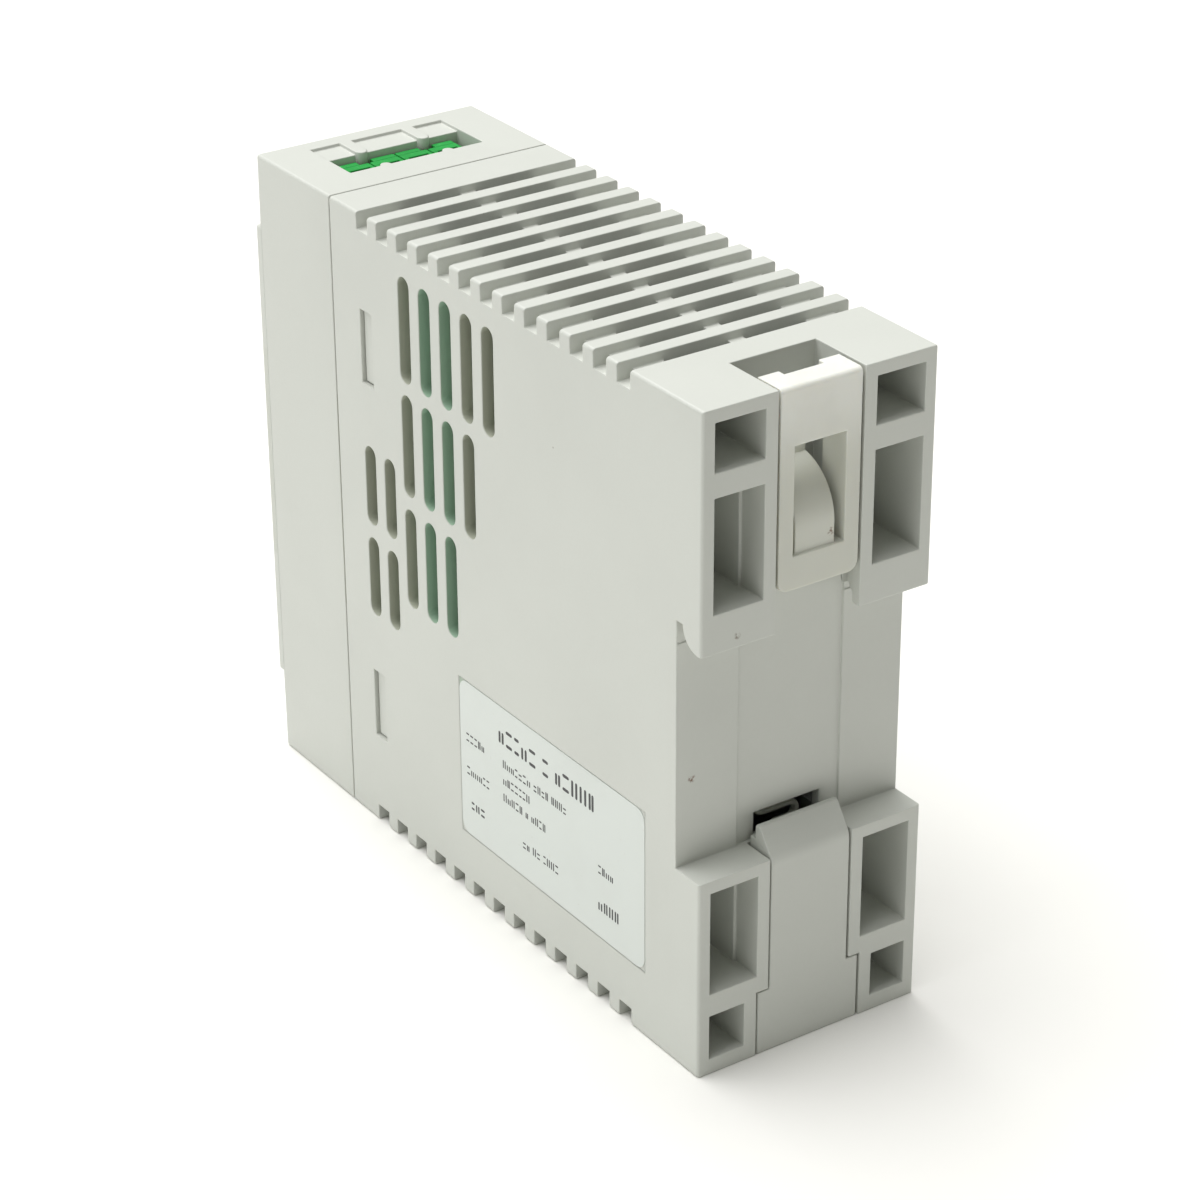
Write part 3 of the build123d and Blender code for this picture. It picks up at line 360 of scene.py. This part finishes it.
# Scuffs on the case and the latch: centre, reach and colour.
BROWN = (0.16, 0.07, 0.03)
GREY_MARK = (0.23, 0.2, 0.16)
case_marks = [
    ((13.2 * MM, 57.7 * MM, 67.6 * MM), 0.7 * MM, GREY_MARK),
    ((16.4 * MM, 52.2 * MM, 44.5 * MM), 0.8 * MM, BROWN),
]
latch_marks = [
    ((-1.0 * MM, 52.6 * MM, 85.6 * MM), 1.1 * MM, BROWN),
    ((-2.3 * MM, 57.1 * MM, 78.3 * MM), 0.8 * MM, BROWN),
]
looks = {
    "housing_grey": housing_plastic("housing_grey_plastic", case_marks),
    "latch_white": acetal("latch_white_acetal", latch_marks),
    "label_white": vinyl("label_white_vinyl"),
    "board_green": solder_mask("board_green_mask"),
    "terminal_green": moulded("terminal_green_plastic", (0.02, 0.33, 0.06), 0.42, 0.55,
                              Specular_IOR_Level=0.2),
    "steel_plated": metal("steel_plated_metal", (0.66, 0.66, 0.64)),
    "tinned_metal": metal("tinned_metal_metal", (0.72, 0.72, 0.70), 0.2, 0.38),
    "clamp_brass": metal("clamp_brass_metal", (0.74, 0.66, 0.46)),
    "fuse_glass": clear("fuse_glass_clear", (0.93, 0.96, 0.95), 0.03),
    "aluminium": metal("aluminium_metal", (0.78, 0.78, 0.79), 0.28, 0.45, (1, 0.15, 0.15)),
    "sleeve_black": moulded("sleeve_black_film", (0.018, 0.02, 0.03), 0.2, 0.34),
    "ferrite": moulded("ferrite_black", (0.05, 0.05, 0.055), 0.5, 0.7, 0.25, 0.02),
    "copper_wire": wound("copper_wire_turns", (0.62, 0.27, 0.1), 0.6, "X"),
    "bobbin_black": moulded("bobbin_black_plastic", (0.03, 0.03, 0.03), 0.35, 0.5),
    "tape_yellow": wound("tape_yellow_layers", (0.8, 0.6, 0.09), 2.2, "Y", 0.0),
    "x_cap_yellow": moulded("x_cap_yellow_box", (0.82, 0.62, 0.1), 0.3, 0.42),
    "disc_blue": moulded("disc_blue_epoxy", (0.03, 0.13, 0.45), 0.2, 0.35, 1.2, 0.02),
    "disc_dark": moulded("disc_dark_epoxy", (0.03, 0.07, 0.05), 0.3, 0.45, 1.2, 0.02),
    "epoxy_black": moulded("epoxy_black_case", (0.022, 0.022, 0.024), 0.38, 0.55, 0.2, 0.008),
    "resistor_tan": moulded("resistor_tan_lacquer", (0.56, 0.42, 0.25), 0.25, 0.4, 0.9, 0.015),
    "pot_blue": moulded("pot_blue_plastic", (0.03, 0.13, 0.42), 0.3, 0.45),
    "rotor_white": moulded("rotor_white_plastic", (0.82, 0.82, 0.78), 0.35, 0.5),
    "led_green": moulded("led_green_lens", (0.1, 0.62, 0.16), 0.12, 0.22, 1.5, 0.004,
                         Transmission_Weight=0.4),
    "light_pipe": clear("light_pipe_acrylic", (0.92, 0.95, 0.93), 0.12),
}
label_ink = ink("label_ink", (0.03, 0.03, 0.033))
track_lacquer = moulded("track_lacquer", (0.09, 0.3, 0.13), 0.34, 0.46, 0.8, 0.006,
                        Specular_IOR_Level=0.2)
pour_lacquer = moulded("pour_lacquer", (0.13, 0.18, 0.07), 0.34, 0.46, 0.8, 0.006,
                       Specular_IOR_Level=0.2)
chip_ceramic = moulded("chip_ceramic", (0.42, 0.33, 0.22), 0.35, 0.5, 0.3, 0.01)
legend_white = ink("legend_white", (0.75, 0.76, 0.72))

slot_of = {row["node"]: row["material_slot"] for row in frame["record"]["subparts"]}
for name, node in nodes.items():
    node.data.materials.clear()
    node.data.materials.append(looks[slot_of[name]])


# ------------------------------------------------------------------ softened edges
WELD_REACH = 0.002 * MM
# Faces that lie within this angle of each other are one flat face.
FLAT_WITHIN = math.radians(0.6)
# Edges that turn by more than this are rounded.
SHARP_ABOVE = math.radians(35.0)


def soften(name, width, merge_faces=True):
    """Breaks a moulded part's sharp edges: a small round on each, its faces left flat."""
    part = nodes[name]
    weld = part.modifiers.new("weld", "WELD")
    weld.merge_threshold = WELD_REACH
    if merge_faces:
        flat = part.modifiers.new("flat", "DECIMATE")
        flat.decimate_type = "DISSOLVE"
        flat.angle_limit = FLAT_WITHIN
    edge = part.modifiers.new("edge", "BEVEL")
    edge.width = width
    edge.segments = 2
    edge.limit_method = "ANGLE"
    edge.angle_limit = SHARP_ABOVE
    edge.use_clamp_overlap = False
    edge.loop_slide = False
    shading = part.modifiers.new("shading", "WEIGHTED_NORMAL")
    shading.keep_sharp = False
    shading.weight = 100


soften("case_body", 0.16 * MM)
soften("front_cover", 0.16 * MM, merge_faces=False)
soften("rail_foot", 0.2 * MM)
soften("rail_latch", 0.16 * MM)


# ------------------------------------------------------------------ mesh helpers
# Steps round each half-round end of a stroke.
ROUND_STEPS = 4


def finish_piece(name, bm, material, body):
    """Turns a bmesh into a piece, which rides on a CAD body if one is given."""
    bmesh.ops.recalc_face_normals(bm, faces=bm.faces)
    mesh = bpy.data.meshes.new(name)
    bm.to_mesh(mesh)
    bm.free()
    mesh.materials.append(material)
    piece = bpy.data.objects.new(name, mesh)
    bpy.context.scene.collection.objects.link(piece)
    if body:
        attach(piece, body)
    return piece


def add_block(bm, low, high, softness):
    """A box between two corners, with rounded edges."""
    low, high = Vector(low), Vector(high)
    size, centre = high - low, (high + low) / 2
    verts = bmesh.ops.create_cube(bm, size=1.0)["verts"]
    for v in verts:
        v.co = Vector(c * s for c, s in zip(v.co, size)) + centre
    edges = list({e for v in verts for e in v.link_edges})
    bmesh.ops.bevel(bm, geom=edges, offset=softness, segments=2, profile=0.5, affect="EDGES",
                    clamp_overlap=True)


def add_prism(bm, outline, out, depth):
    """A closed outline raised by a depth along a direction."""
    base = [bm.verts.new(p) for p in outline]
    top = [bm.verts.new(Vector(p) + Vector(out) * depth) for p in outline]
    bm.faces.new(list(reversed(base)))
    bm.faces.new(top)
    for i in range(len(base)):
        j = (i + 1) % len(base)
        bm.faces.new((base[i], base[j], top[j], top[i]))


def add_stroke(bm, start, end, width, out, depth):
    """A stroke with round ends between two points, raised along a direction."""
    start, end, out = Vector(start), Vector(end), Vector(out)
    along = (end - start).normalized()
    aside = out.cross(along)
    outline = []
    for centre, turn in ((end, -90), (start, 90)):
        for step in range(ROUND_STEPS + 1):
            a = math.radians(turn + 180 / ROUND_STEPS * step)
            outline.append(centre + (along * math.cos(a) + aside * math.sin(a)) * width / 2)
    add_prism(bm, outline, out, depth)


# ------------------------------------------------------------------ label print
PRINT_DEPTH = 0.01 * MM
# Shares of the height of a row.
STROKE_THICKNESS = 0.19
MARK_WIDTHS = (0.45, 0.62)
MARK_HEIGHTS = (1.0, 1.0, 0.72)
MARK_GAP = 0.22
WORD_GAP = 0.45


def add_greeked(bm, corner, right, out, rows, rng):
    """Rows of small plain strokes in the place of words, which spell nothing."""
    up = Vector(out).cross(Vector(right))
    for left, top, height, words in rows:
        at = left
        thickness = height * STROKE_THICKNESS
        for marks in words:
            for _ in range(marks):
                width = height * rng.uniform(*MARK_WIDTHS)
                tall = height * rng.choice(MARK_HEIGHTS)
                foot = Vector(corner) + Vector(right) * (at + thickness / 2) * MM
                foot -= up * (top + height) * MM
                lift = up * (tall - thickness / 2) * MM
                side = Vector(right) * (width - thickness) * MM
                rise = foot + up * thickness / 2 * MM
                peak = foot + lift
                if rng.random() < 0.5:
                    strokes = (rise, peak), (rise + side, peak + side)
                else:
                    strokes = (rise, rise + side), (peak, peak + side)
                for start, end in strokes:
                    add_stroke(bm, start, end, thickness * MM, out, PRINT_DEPTH)
                at += width + height * MARK_GAP
            at += height * WORD_GAP


def label_print(name, node, right, out, rows, seed):
    """Generic print on the outer face of a label."""
    low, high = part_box(node)
    rng = random.Random(seed)
    corner = (high.x, low.y, high.z) if out[0] else (low.x, low.y, high.z)
    bm = bmesh.new()
    add_greeked(bm, corner, right, out, rows, rng)
    finish_piece(name, bm, label_ink, "case")


# Rows in millimetres: from the left, from the top, height, and how many marks are in each word.
RATING_ROWS = [
    (10.5, 3.4, 2.7, (5, 1, 5)),
    (1.6, 8.6, 1.35, (5,)), (11.5, 8.6, 1.35, (7, 4, 4)),
    (11.5, 11.4, 1.35, (7,)),
    (1.6, 14.2, 1.35, (6,)), (11.5, 14.2, 1.35, (5, 1, 4)),
    (16.5, 19.6, 1.35, (2, 2, 4)),
    (36.0, 14.0, 1.35, (4,)), (36.0, 19.6, 1.8, (4,)), (2.6, 19.4, 1.8, (3,)),
]
label_print("rating_label_print", "rating_label", (0, 1, 0), (1, 0, 0), RATING_ROWS, 3)
FRONT_ROWS = [
    (7.4, 8.6, 1.4, (4,)), (18.8, 8.6, 1.4, (5,)),
    (3.0, 17.0, 2.4, (6, 3)),
    (3.0, 22.0, 1.3, (5, 7)), (3.0, 25.0, 1.3, (7, 3)), (3.0, 28.0, 1.3, (4, 6)),
    (3.0, 52.0, 1.3, (6, 4)), (3.0, 55.0, 1.3, (5, 5, 3)), (3.0, 61.0, 1.3, (1,)),
    (14.5, 61.0, 1.3, (1,)), (25.5, 61.0, 1.3, (1,)),
]
label_print("front_label_print", "front_label", (1, 0, 0), (0, -1, 0), FRONT_ROWS, 5)


# ------------------------------------------------------------------ collars of the terminals
COLLAR_RISE = 1.5 * MM
COLLAR_SINK = 0.2 * MM
COLLAR_HALF = 2.42 * MM
COLLAR_EDGE = 0.15 * MM
ENTRY_HALF = 1.7 * MM
# Distances back from the front of the terminal housing, and forward from its rear.
COLLAR_FRONT, ENTRY_FRONT, ENTRY_REAR = 4.1 * MM, 7.0 * MM, 9.6 * MM
COLLAR_REAR = 0.8 * MM
# The cover has small posts at these places, and the collars stop short beside them.
POSTS, POST_HALF, POST_REACH = (-5.4 * MM, 5.4 * MM), 1.2 * MM, 1.3 * MM


def clear_of_posts(x0, x1):
    """Shortens a span along X where a post of the cover takes one of its ends."""
    for post in POSTS:
        if x0 < post - POST_HALF < x1 < post + POST_HALF:
            x1 = post - POST_HALF
        elif post - POST_HALF < x0 < post + POST_HALF < x1:
            x0 = post + POST_HALF
    return x0, x1


def terminal_collars(side, poles, up):
    """Low square collars round the wire entries, in the cover's opening above the housing."""
    low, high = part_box(f"{side}_terminal_block")
    z_face = high.z if up > 0 else low.z
    z0, z1 = sorted((z_face - up * COLLAR_SINK, z_face + up * COLLAR_RISE))
    front, rear = low.y + COLLAR_FRONT, high.y - COLLAR_REAR
    entry_front, entry_rear = low.y + ENTRY_FRONT, low.y + ENTRY_REAR
    bm = bmesh.new()
    for number in range(1, poles + 1):
        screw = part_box(f"{side}_screw_{number}")
        x = (screw[0].x + screw[1].x) / 2
        full = (x - COLLAR_HALF, x + COLLAR_HALF)
        left, right = (x - COLLAR_HALF, x - ENTRY_HALF), (x + ENTRY_HALF, x + COLLAR_HALF)
        for span, y0, y1 in (
                (clear_of_posts(*full), front, front + POST_REACH),
                (full, front + POST_REACH, entry_front),
                (left, entry_front, entry_rear),
                (right, entry_front, entry_rear),
                (clear_of_posts(*full), entry_rear, rear)):
            add_block(bm, (span[0], y0, z0), (span[1], y1, z1), COLLAR_EDGE)
    finish_piece(f"{side}_terminal_collars", bm, looks["terminal_green"], "case")


terminal_collars("output", 4, 1)
terminal_collars("input", 3, -1)


# ------------------------------------------------------------------ spring of the foot
SPRING_STRIP = 0.85 * MM
SPRING_BARS = 5
BEND_STEPS = 8
# Corners of the strip's section, as shares of its half sizes: along Y, then across the strip.
STRIP_SECTION = ((1, 0.6), (0.6, 1), (-0.6, 1), (-1, 0.6),
                 (-1, -0.6), (-0.6, -1), (0.6, -1), (1, -0.6))
STRIP_DEPTH_SHARE = 0.98


def meander(low, high):
    """The line of the foot's spring: level bars joined by half-round bends, from the top down."""
    mid_y = (high.y + low.y) / 2
    step = (high.z - low.z) / SPRING_BARS
    radius = step / 2
    straight = high.x - SPRING_STRIP / 2 - radius
    path = [Vector((0, mid_y, high.z)), Vector((0, mid_y, high.z - step * 0.5))]
    side = 1
    for bar in range(SPRING_BARS - 1):
        z = high.z - step * (bar + 0.5)
        path.append(Vector((side * straight, mid_y, z)))
        for turn in range(1, BEND_STEPS):
            a = math.radians(90 - 180 / BEND_STEPS * turn)
            path.append(Vector((side * (straight + radius * math.cos(a)), mid_y,
                                z - radius + radius * math.sin(a))))
        path.append(Vector((side * straight, mid_y, z - step)))
        side = -side
    path.append(Vector((0, mid_y, high.z - step * (SPRING_BARS - 0.5))))
    path.append(Vector((0, mid_y, low.z)))
    return path


def foot_spring():
    """A flat meander moulded in one strip, which stretches when the foot is pulled down."""
    low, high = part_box("foot_spring")
    mid_y, half_depth = (high.y + low.y) / 2, (high.y - low.y) / 2
    path = meander(low, high)
    bm = bmesh.new()
    rings = []
    for i, point in enumerate(path):
        ahead = path[min(i + 1, len(path) - 1)] - path[max(i - 1, 0)]
        across = Vector((0, 1, 0)).cross(ahead.normalized())
        ring = []
        for u, v in STRIP_SECTION:
            at = point + across * v * SPRING_STRIP / 2
            at += Vector((0, u * half_depth * STRIP_DEPTH_SHARE, 0))
            at.z = min(max(at.z, low.z), high.z)
            ring.append(bm.verts.new(at))
        rings.append(ring)
    corners = len(STRIP_SECTION)
    for a, b in zip(rings, rings[1:]):
        for i in range(corners):
            j = (i + 1) % corners
            bm.faces.new((a[i], a[j], b[j], b[i]))
    bm.faces.new(rings[0])
    bm.faces.new(list(reversed(rings[-1])))
    piece = finish_piece("foot_spring_strip", bm, looks["latch_white"], None)
    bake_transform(piece)
    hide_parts("foot_spring")


foot_spring()


# ------------------------------------------------------------------ face of the main board
OUTWARD = (1, 0, 0)
# Surface-mounted parts: how many, and their half length, half width and height in millimetres.
BOARD_PARTS = [
    ("chip", 3, 2.5, 2.0, 1.1),
    ("resistor", 26, 1.6, 0.8, 0.5),
    ("capacitor", 16, 1.0, 0.62, 0.7),
]
PART_GAP = 0.6 * MM
PLACE_TRIES = 200
BOARD_MARGIN_Y, BOARD_MARGIN_Z = 5 * MM, 6 * MM
SOLDER_REACH = 1 * MM
LIFT = 0.05 * MM
BODY_EDGE = 0.08 * MM
# Shares of a part's length: a chip's body between its legs, and a small part's between its caps.
CHIP_BODY, CAPPED_BODY, CAP_START = 0.72, 0.7, 0.95
CAP_HEIGHT, CAP_EDGE = 1.02, 0.1 * MM
LEGS, LEG_PITCH, LEG_HALF, LEG_HEIGHT, LEG_EDGE = 4, 1.0 * MM, 0.2 * MM, 0.25 * MM, 0.06 * MM
TRACK_LENGTHS = (4, 12)
TRACK_WIDTHS = (0.35, 0.5, 0.9)
TRACK_DEPTH = 0.035 * MM
TRACK_MARGIN = 2 * MM
LEGEND_GAP, LEGEND_LENGTH, LEGEND_WIDTH, LEGEND_DEPTH = 0.5 * MM, 0.9 * MM, 0.16 * MM, 0.02 * MM


def claim(taken, low, high, half_y, half_z, rng):
    """A free place on the board, kept clear of every place taken before, or None."""
    for _ in range(PLACE_TRIES):
        y = rng.uniform(low.y + BOARD_MARGIN_Y, high.y - BOARD_MARGIN_Y)
        z = rng.uniform(low.z + BOARD_MARGIN_Z, high.z - BOARD_MARGIN_Z)
        if all(abs(y - a) > half_y + c + PART_GAP or abs(z - b) > half_z + d + PART_GAP
               for a, b, c, d in taken):
            taken.append((y, z, half_y, half_z))
            return y, z
    return None


def add_legs(bm, face, y, z, body_half, half_y):
    """Flat legs along both ends of a chip."""
    for leg in range(LEGS):
        leg_z = z + (leg - (LEGS - 1) / 2) * LEG_PITCH
        for side in (-1, 1):
            foot = sorted((y + side * body_half, y + side * half_y))
            add_block(bm, (face, foot[0], leg_z - LEG_HALF),
                      (face + LEG_HEIGHT, foot[1], leg_z + LEG_HALF), LEG_EDGE)


def add_caps(bm, face, y, z, half_y, half_z, height):
    """Metal caps over both ends of a small part."""
    top = face + height * CAP_HEIGHT
    for side in (-1, 1):
        if half_y > half_z:
            a, b = sorted((y + side * half_y * CAPPED_BODY * CAP_START, y + side * half_y))
            add_block(bm, (face, a, z - half_z), (top, b, z + half_z), CAP_EDGE)
        else:
            a, b = sorted((z + side * half_z * CAPPED_BODY * CAP_START, z + side * half_z))
            add_block(bm, (face, y - half_y, a), (top, y + half_y, b), CAP_EDGE)


def add_track(bm, low, high, y, z, half_z, rng):
    """A track that leaves a part and turns once."""
    length = rng.uniform(*TRACK_LENGTHS) * MM
    way = rng.choice((-1, 1))
    corner = Vector((high.x, y, z + way * (half_z + length * 0.6)))
    corner.z = min(max(corner.z, low.z + TRACK_MARGIN), high.z - TRACK_MARGIN)
    tip = corner + Vector((0, rng.choice((-1, 1)) * length * 0.4, way * length * 0.2))
    tip.y = min(max(tip.y, low.y + TRACK_MARGIN), high.y - TRACK_MARGIN)
    tip.z = min(max(tip.z, low.z + TRACK_MARGIN), high.z - TRACK_MARGIN)
    start = Vector((high.x, y, z + way * half_z * 1.1))
    width = rng.choice(TRACK_WIDTHS) * MM
    add_stroke(bm, start, corner, width, OUTWARD, TRACK_DEPTH)
    add_stroke(bm, corner, tip, width, OUTWARD, TRACK_DEPTH)


def board_details():
    """Surface-mounted parts, tracks and legend on the board's face behind the side vents."""
    low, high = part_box("main_board")
    face = high.x
    rng = random.Random(11)
    chips, ends, ceramics, tracks, legend = (bmesh.new() for _ in range(5))
    taken = []
    for vertex in nodes["solder_joints"].data.vertices:
        spot = (round(vertex.co.y, 3), round(vertex.co.z, 3), SOLDER_REACH, SOLDER_REACH)
        if spot not in taken:
            taken.append(spot)
    parts = [(kind, *sizes) for kind, count, *sizes in BOARD_PARTS for _ in range(count)]
    for kind, half_y, half_z, height in parts:
        half_y, half_z, height = half_y * MM, half_z * MM, height * MM
        if kind != "chip" and rng.random() < 0.5:
            half_y, half_z = half_z, half_y
        spot = claim(taken, low, high, half_y, half_z, rng)
        if spot is None:
            continue
        y, z = spot
        span_y, span_z = half_y, half_z
        if kind == "chip":
            span_y = half_y * CHIP_BODY
            add_legs(ends, face, y, z, span_y, half_y)
        else:
            if half_y > half_z:
                span_y = half_y * CAPPED_BODY
            else:
                span_z = half_z * CAPPED_BODY
            add_caps(ends, face, y, z, half_y, half_z, height)
        body = ceramics if kind == "capacitor" else chips
        add_block(body, (face + LIFT, y - span_y, z - span_z),
                  (face + height, y + span_y, z + span_z), BODY_EDGE)
        add_track(tracks, low, high, y, z, half_z, rng)
        mark = Vector((face, y + half_y + LEGEND_GAP, z))
        mark_end = mark + Vector((0, 0, LEGEND_LENGTH))
        add_stroke(legend, mark, mark_end, LEGEND_WIDTH, OUTWARD, LEGEND_DEPTH)
    finish_piece("board_chip_bodies", chips, looks["epoxy_black"], "case")
    finish_piece("board_chip_ends", ends, looks["tinned_metal"], "case")
    finish_piece("board_ceramic_chips", ceramics, chip_ceramic, "case")
    finish_piece("board_tracks", tracks, track_lacquer, "case")
    finish_piece("board_legend", legend, legend_white, "case")


POUR_MARGIN = 1.2 * MM
POUR_CORNER = 2.5 * MM
POUR_DEPTH = 0.02 * MM
# The bare strip along Y, and the two gaps between the planes along Z.
BARE_STRIP = (-12.0 * MM, -2.0 * MM)
LOWER_GAP = (38 * MM, 39.5 * MM)
UPPER_GAP = (77 * MM, 78.5 * MM)


def copper_pours():
    """Copper planes under the lacquer, on both sides of the strip between mains and output."""
    low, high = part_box("main_board")
    columns = ((low.y + POUR_MARGIN, BARE_STRIP[0]), (BARE_STRIP[1], high.y - POUR_MARGIN))
    rows = ((low.z + POUR_MARGIN, LOWER_GAP[0]), (LOWER_GAP[1], UPPER_GAP[0]),
            (UPPER_GAP[1], high.z - POUR_MARGIN))
    cut = POUR_CORNER
    bm = bmesh.new()
    for y0, y1 in columns:
        for z0, z1 in rows:
            outline = [(y0 + cut, z0), (y1 - cut, z0), (y1, z0 + cut), (y1, z1 - cut),
                       (y1 - cut, z1), (y0 + cut, z1), (y0, z1 - cut), (y0, z0 + cut)]
            add_prism(bm, [(high.x, y, z) for y, z in outline], OUTWARD, POUR_DEPTH)
    finish_piece("board_copper_pours", bm, pour_lacquer, "case")


board_details()
copper_pours()


# ------------------------------------------------------------------ floor, lights, camera
FLOOR_REACH = 1.0
FLOOR_STEPS = 24


def stage():
    """A pale floor of paper, made as a grid."""
    bm = bmesh.new()
    places = [FLOOR_REACH * (2 * i / FLOOR_STEPS - 1) for i in range(FLOOR_STEPS + 1)]
    rows = [[bm.verts.new((x, y, 0)) for y in places] for x in places]
    for row, after in zip(rows, rows[1:]):
        for j in range(FLOOR_STEPS):
            bm.faces.new((row[j], after[j], after[j + 1], row[j + 1]))
    mesh = bpy.data.meshes.new("floor")
    bm.to_mesh(mesh)
    bm.free()
    floor = bpy.data.objects.new("floor", mesh)
    bpy.context.scene.collection.objects.link(floor)
    paper = Surface("floor_paper", (0.92, 0.915, 0.89), 0.8)
    paper.tint((0.9, 0.895, 0.87), paper.noise(400 * MM, 2.0), 0.4)
    paper.gloss(paper.noise(30 * MM), 0.75, 0.85)
    paper.bump(paper.noise(1.5 * MM), 0.01 * MM)
    mesh.materials.append(paper.material)


LIGHT_TARGET = Vector((0, 0, 0.05))


def area_light(name, location, size, power, color):
    """A rectangular light of a size in metres, aimed at the object."""
    data = bpy.data.lights.new(name, "AREA")
    data.shape = "RECTANGLE"
    data.size, data.size_y = size
    data.energy = power
    data.color = color
    light = bpy.data.objects.new(name, data)
    bpy.context.scene.collection.objects.link(light)
    light.location = location
    aim = LIGHT_TARGET - Vector(location)
    light.rotation_euler = aim.to_track_quat("-Z", "Y").to_euler()


stage()
area_light("overhead", (0.2, -0.55, 2.0), (2.4, 2.2), 68.0, (1.0, 0.995, 0.99))
area_light("side_fill", (1.6, -0.1, 0.6), (1.0, 0.9), 3.5, (0.96, 0.99, 1.0))

WALL_COLOR, WALL_LEVEL = (1.0, 1.0, 0.93, 1), 0.23
BACKDROP_COLOR, BACKDROP_LEVEL = (1, 1, 1, 1), 1.0


def studio_walls():
    """Dim warm walls all round, which look plain white where the camera sees them directly."""
    world = bpy.data.worlds.new("studio")
    world.use_nodes = True
    tree = world.node_tree
    background = tree.nodes["Background"]
    rays = tree.nodes.new("ShaderNodeLightPath")
    color = tree.nodes.new("ShaderNodeMix")
    color.data_type = "RGBA"
    color.inputs[MIX_UNDER].default_value = WALL_COLOR
    color.inputs[MIX_OVER].default_value = BACKDROP_COLOR
    tree.links.new(rays.outputs["Is Camera Ray"], color.inputs[MIX_MASK])
    tree.links.new(color.outputs[MIX_RESULT], background.inputs["Color"])
    level = tree.nodes.new("ShaderNodeMapRange")
    level.inputs["To Min"].default_value = WALL_LEVEL
    level.inputs["To Max"].default_value = BACKDROP_LEVEL
    tree.links.new(rays.outputs["Is Camera Ray"], level.inputs["Value"])
    tree.links.new(level.outputs["Result"], background.inputs["Strength"])
    bpy.context.scene.world = world


studio_walls()
bpy.context.scene.view_settings.view_transform = "Standard"

# The photograph's camera: the point that it looks at, its distance, and its own axes.
CAMERA_TARGET = Vector((-1.56 * MM, 4.0 * MM, 45.74 * MM))
CAMERA_DISTANCE = 0.5222
CAMERA_RIGHT = Vector((-0.827, 0.56218, -0.00572))
CAMERA_BACK = Vector((0.49728, 0.73619, 0.45906))
CAMERA_LENS, CAMERA_SENSOR = 107.0, 36.0
camera_data = bpy.data.cameras.new("camera")
camera_data.lens = CAMERA_LENS
camera_data.sensor_width = CAMERA_SENSOR
camera = bpy.data.objects.new("camera", camera_data)
bpy.context.scene.collection.objects.link(camera)
back = CAMERA_BACK.normalized()
up = back.cross(CAMERA_RIGHT).normalized()
right = up.cross(back)
turn = Matrix((right, up, back)).transposed().to_4x4()
camera.matrix_world = Matrix.Translation(CAMERA_TARGET + back * CAMERA_DISTANCE) @ turn
bpy.context.scene.camera = camera
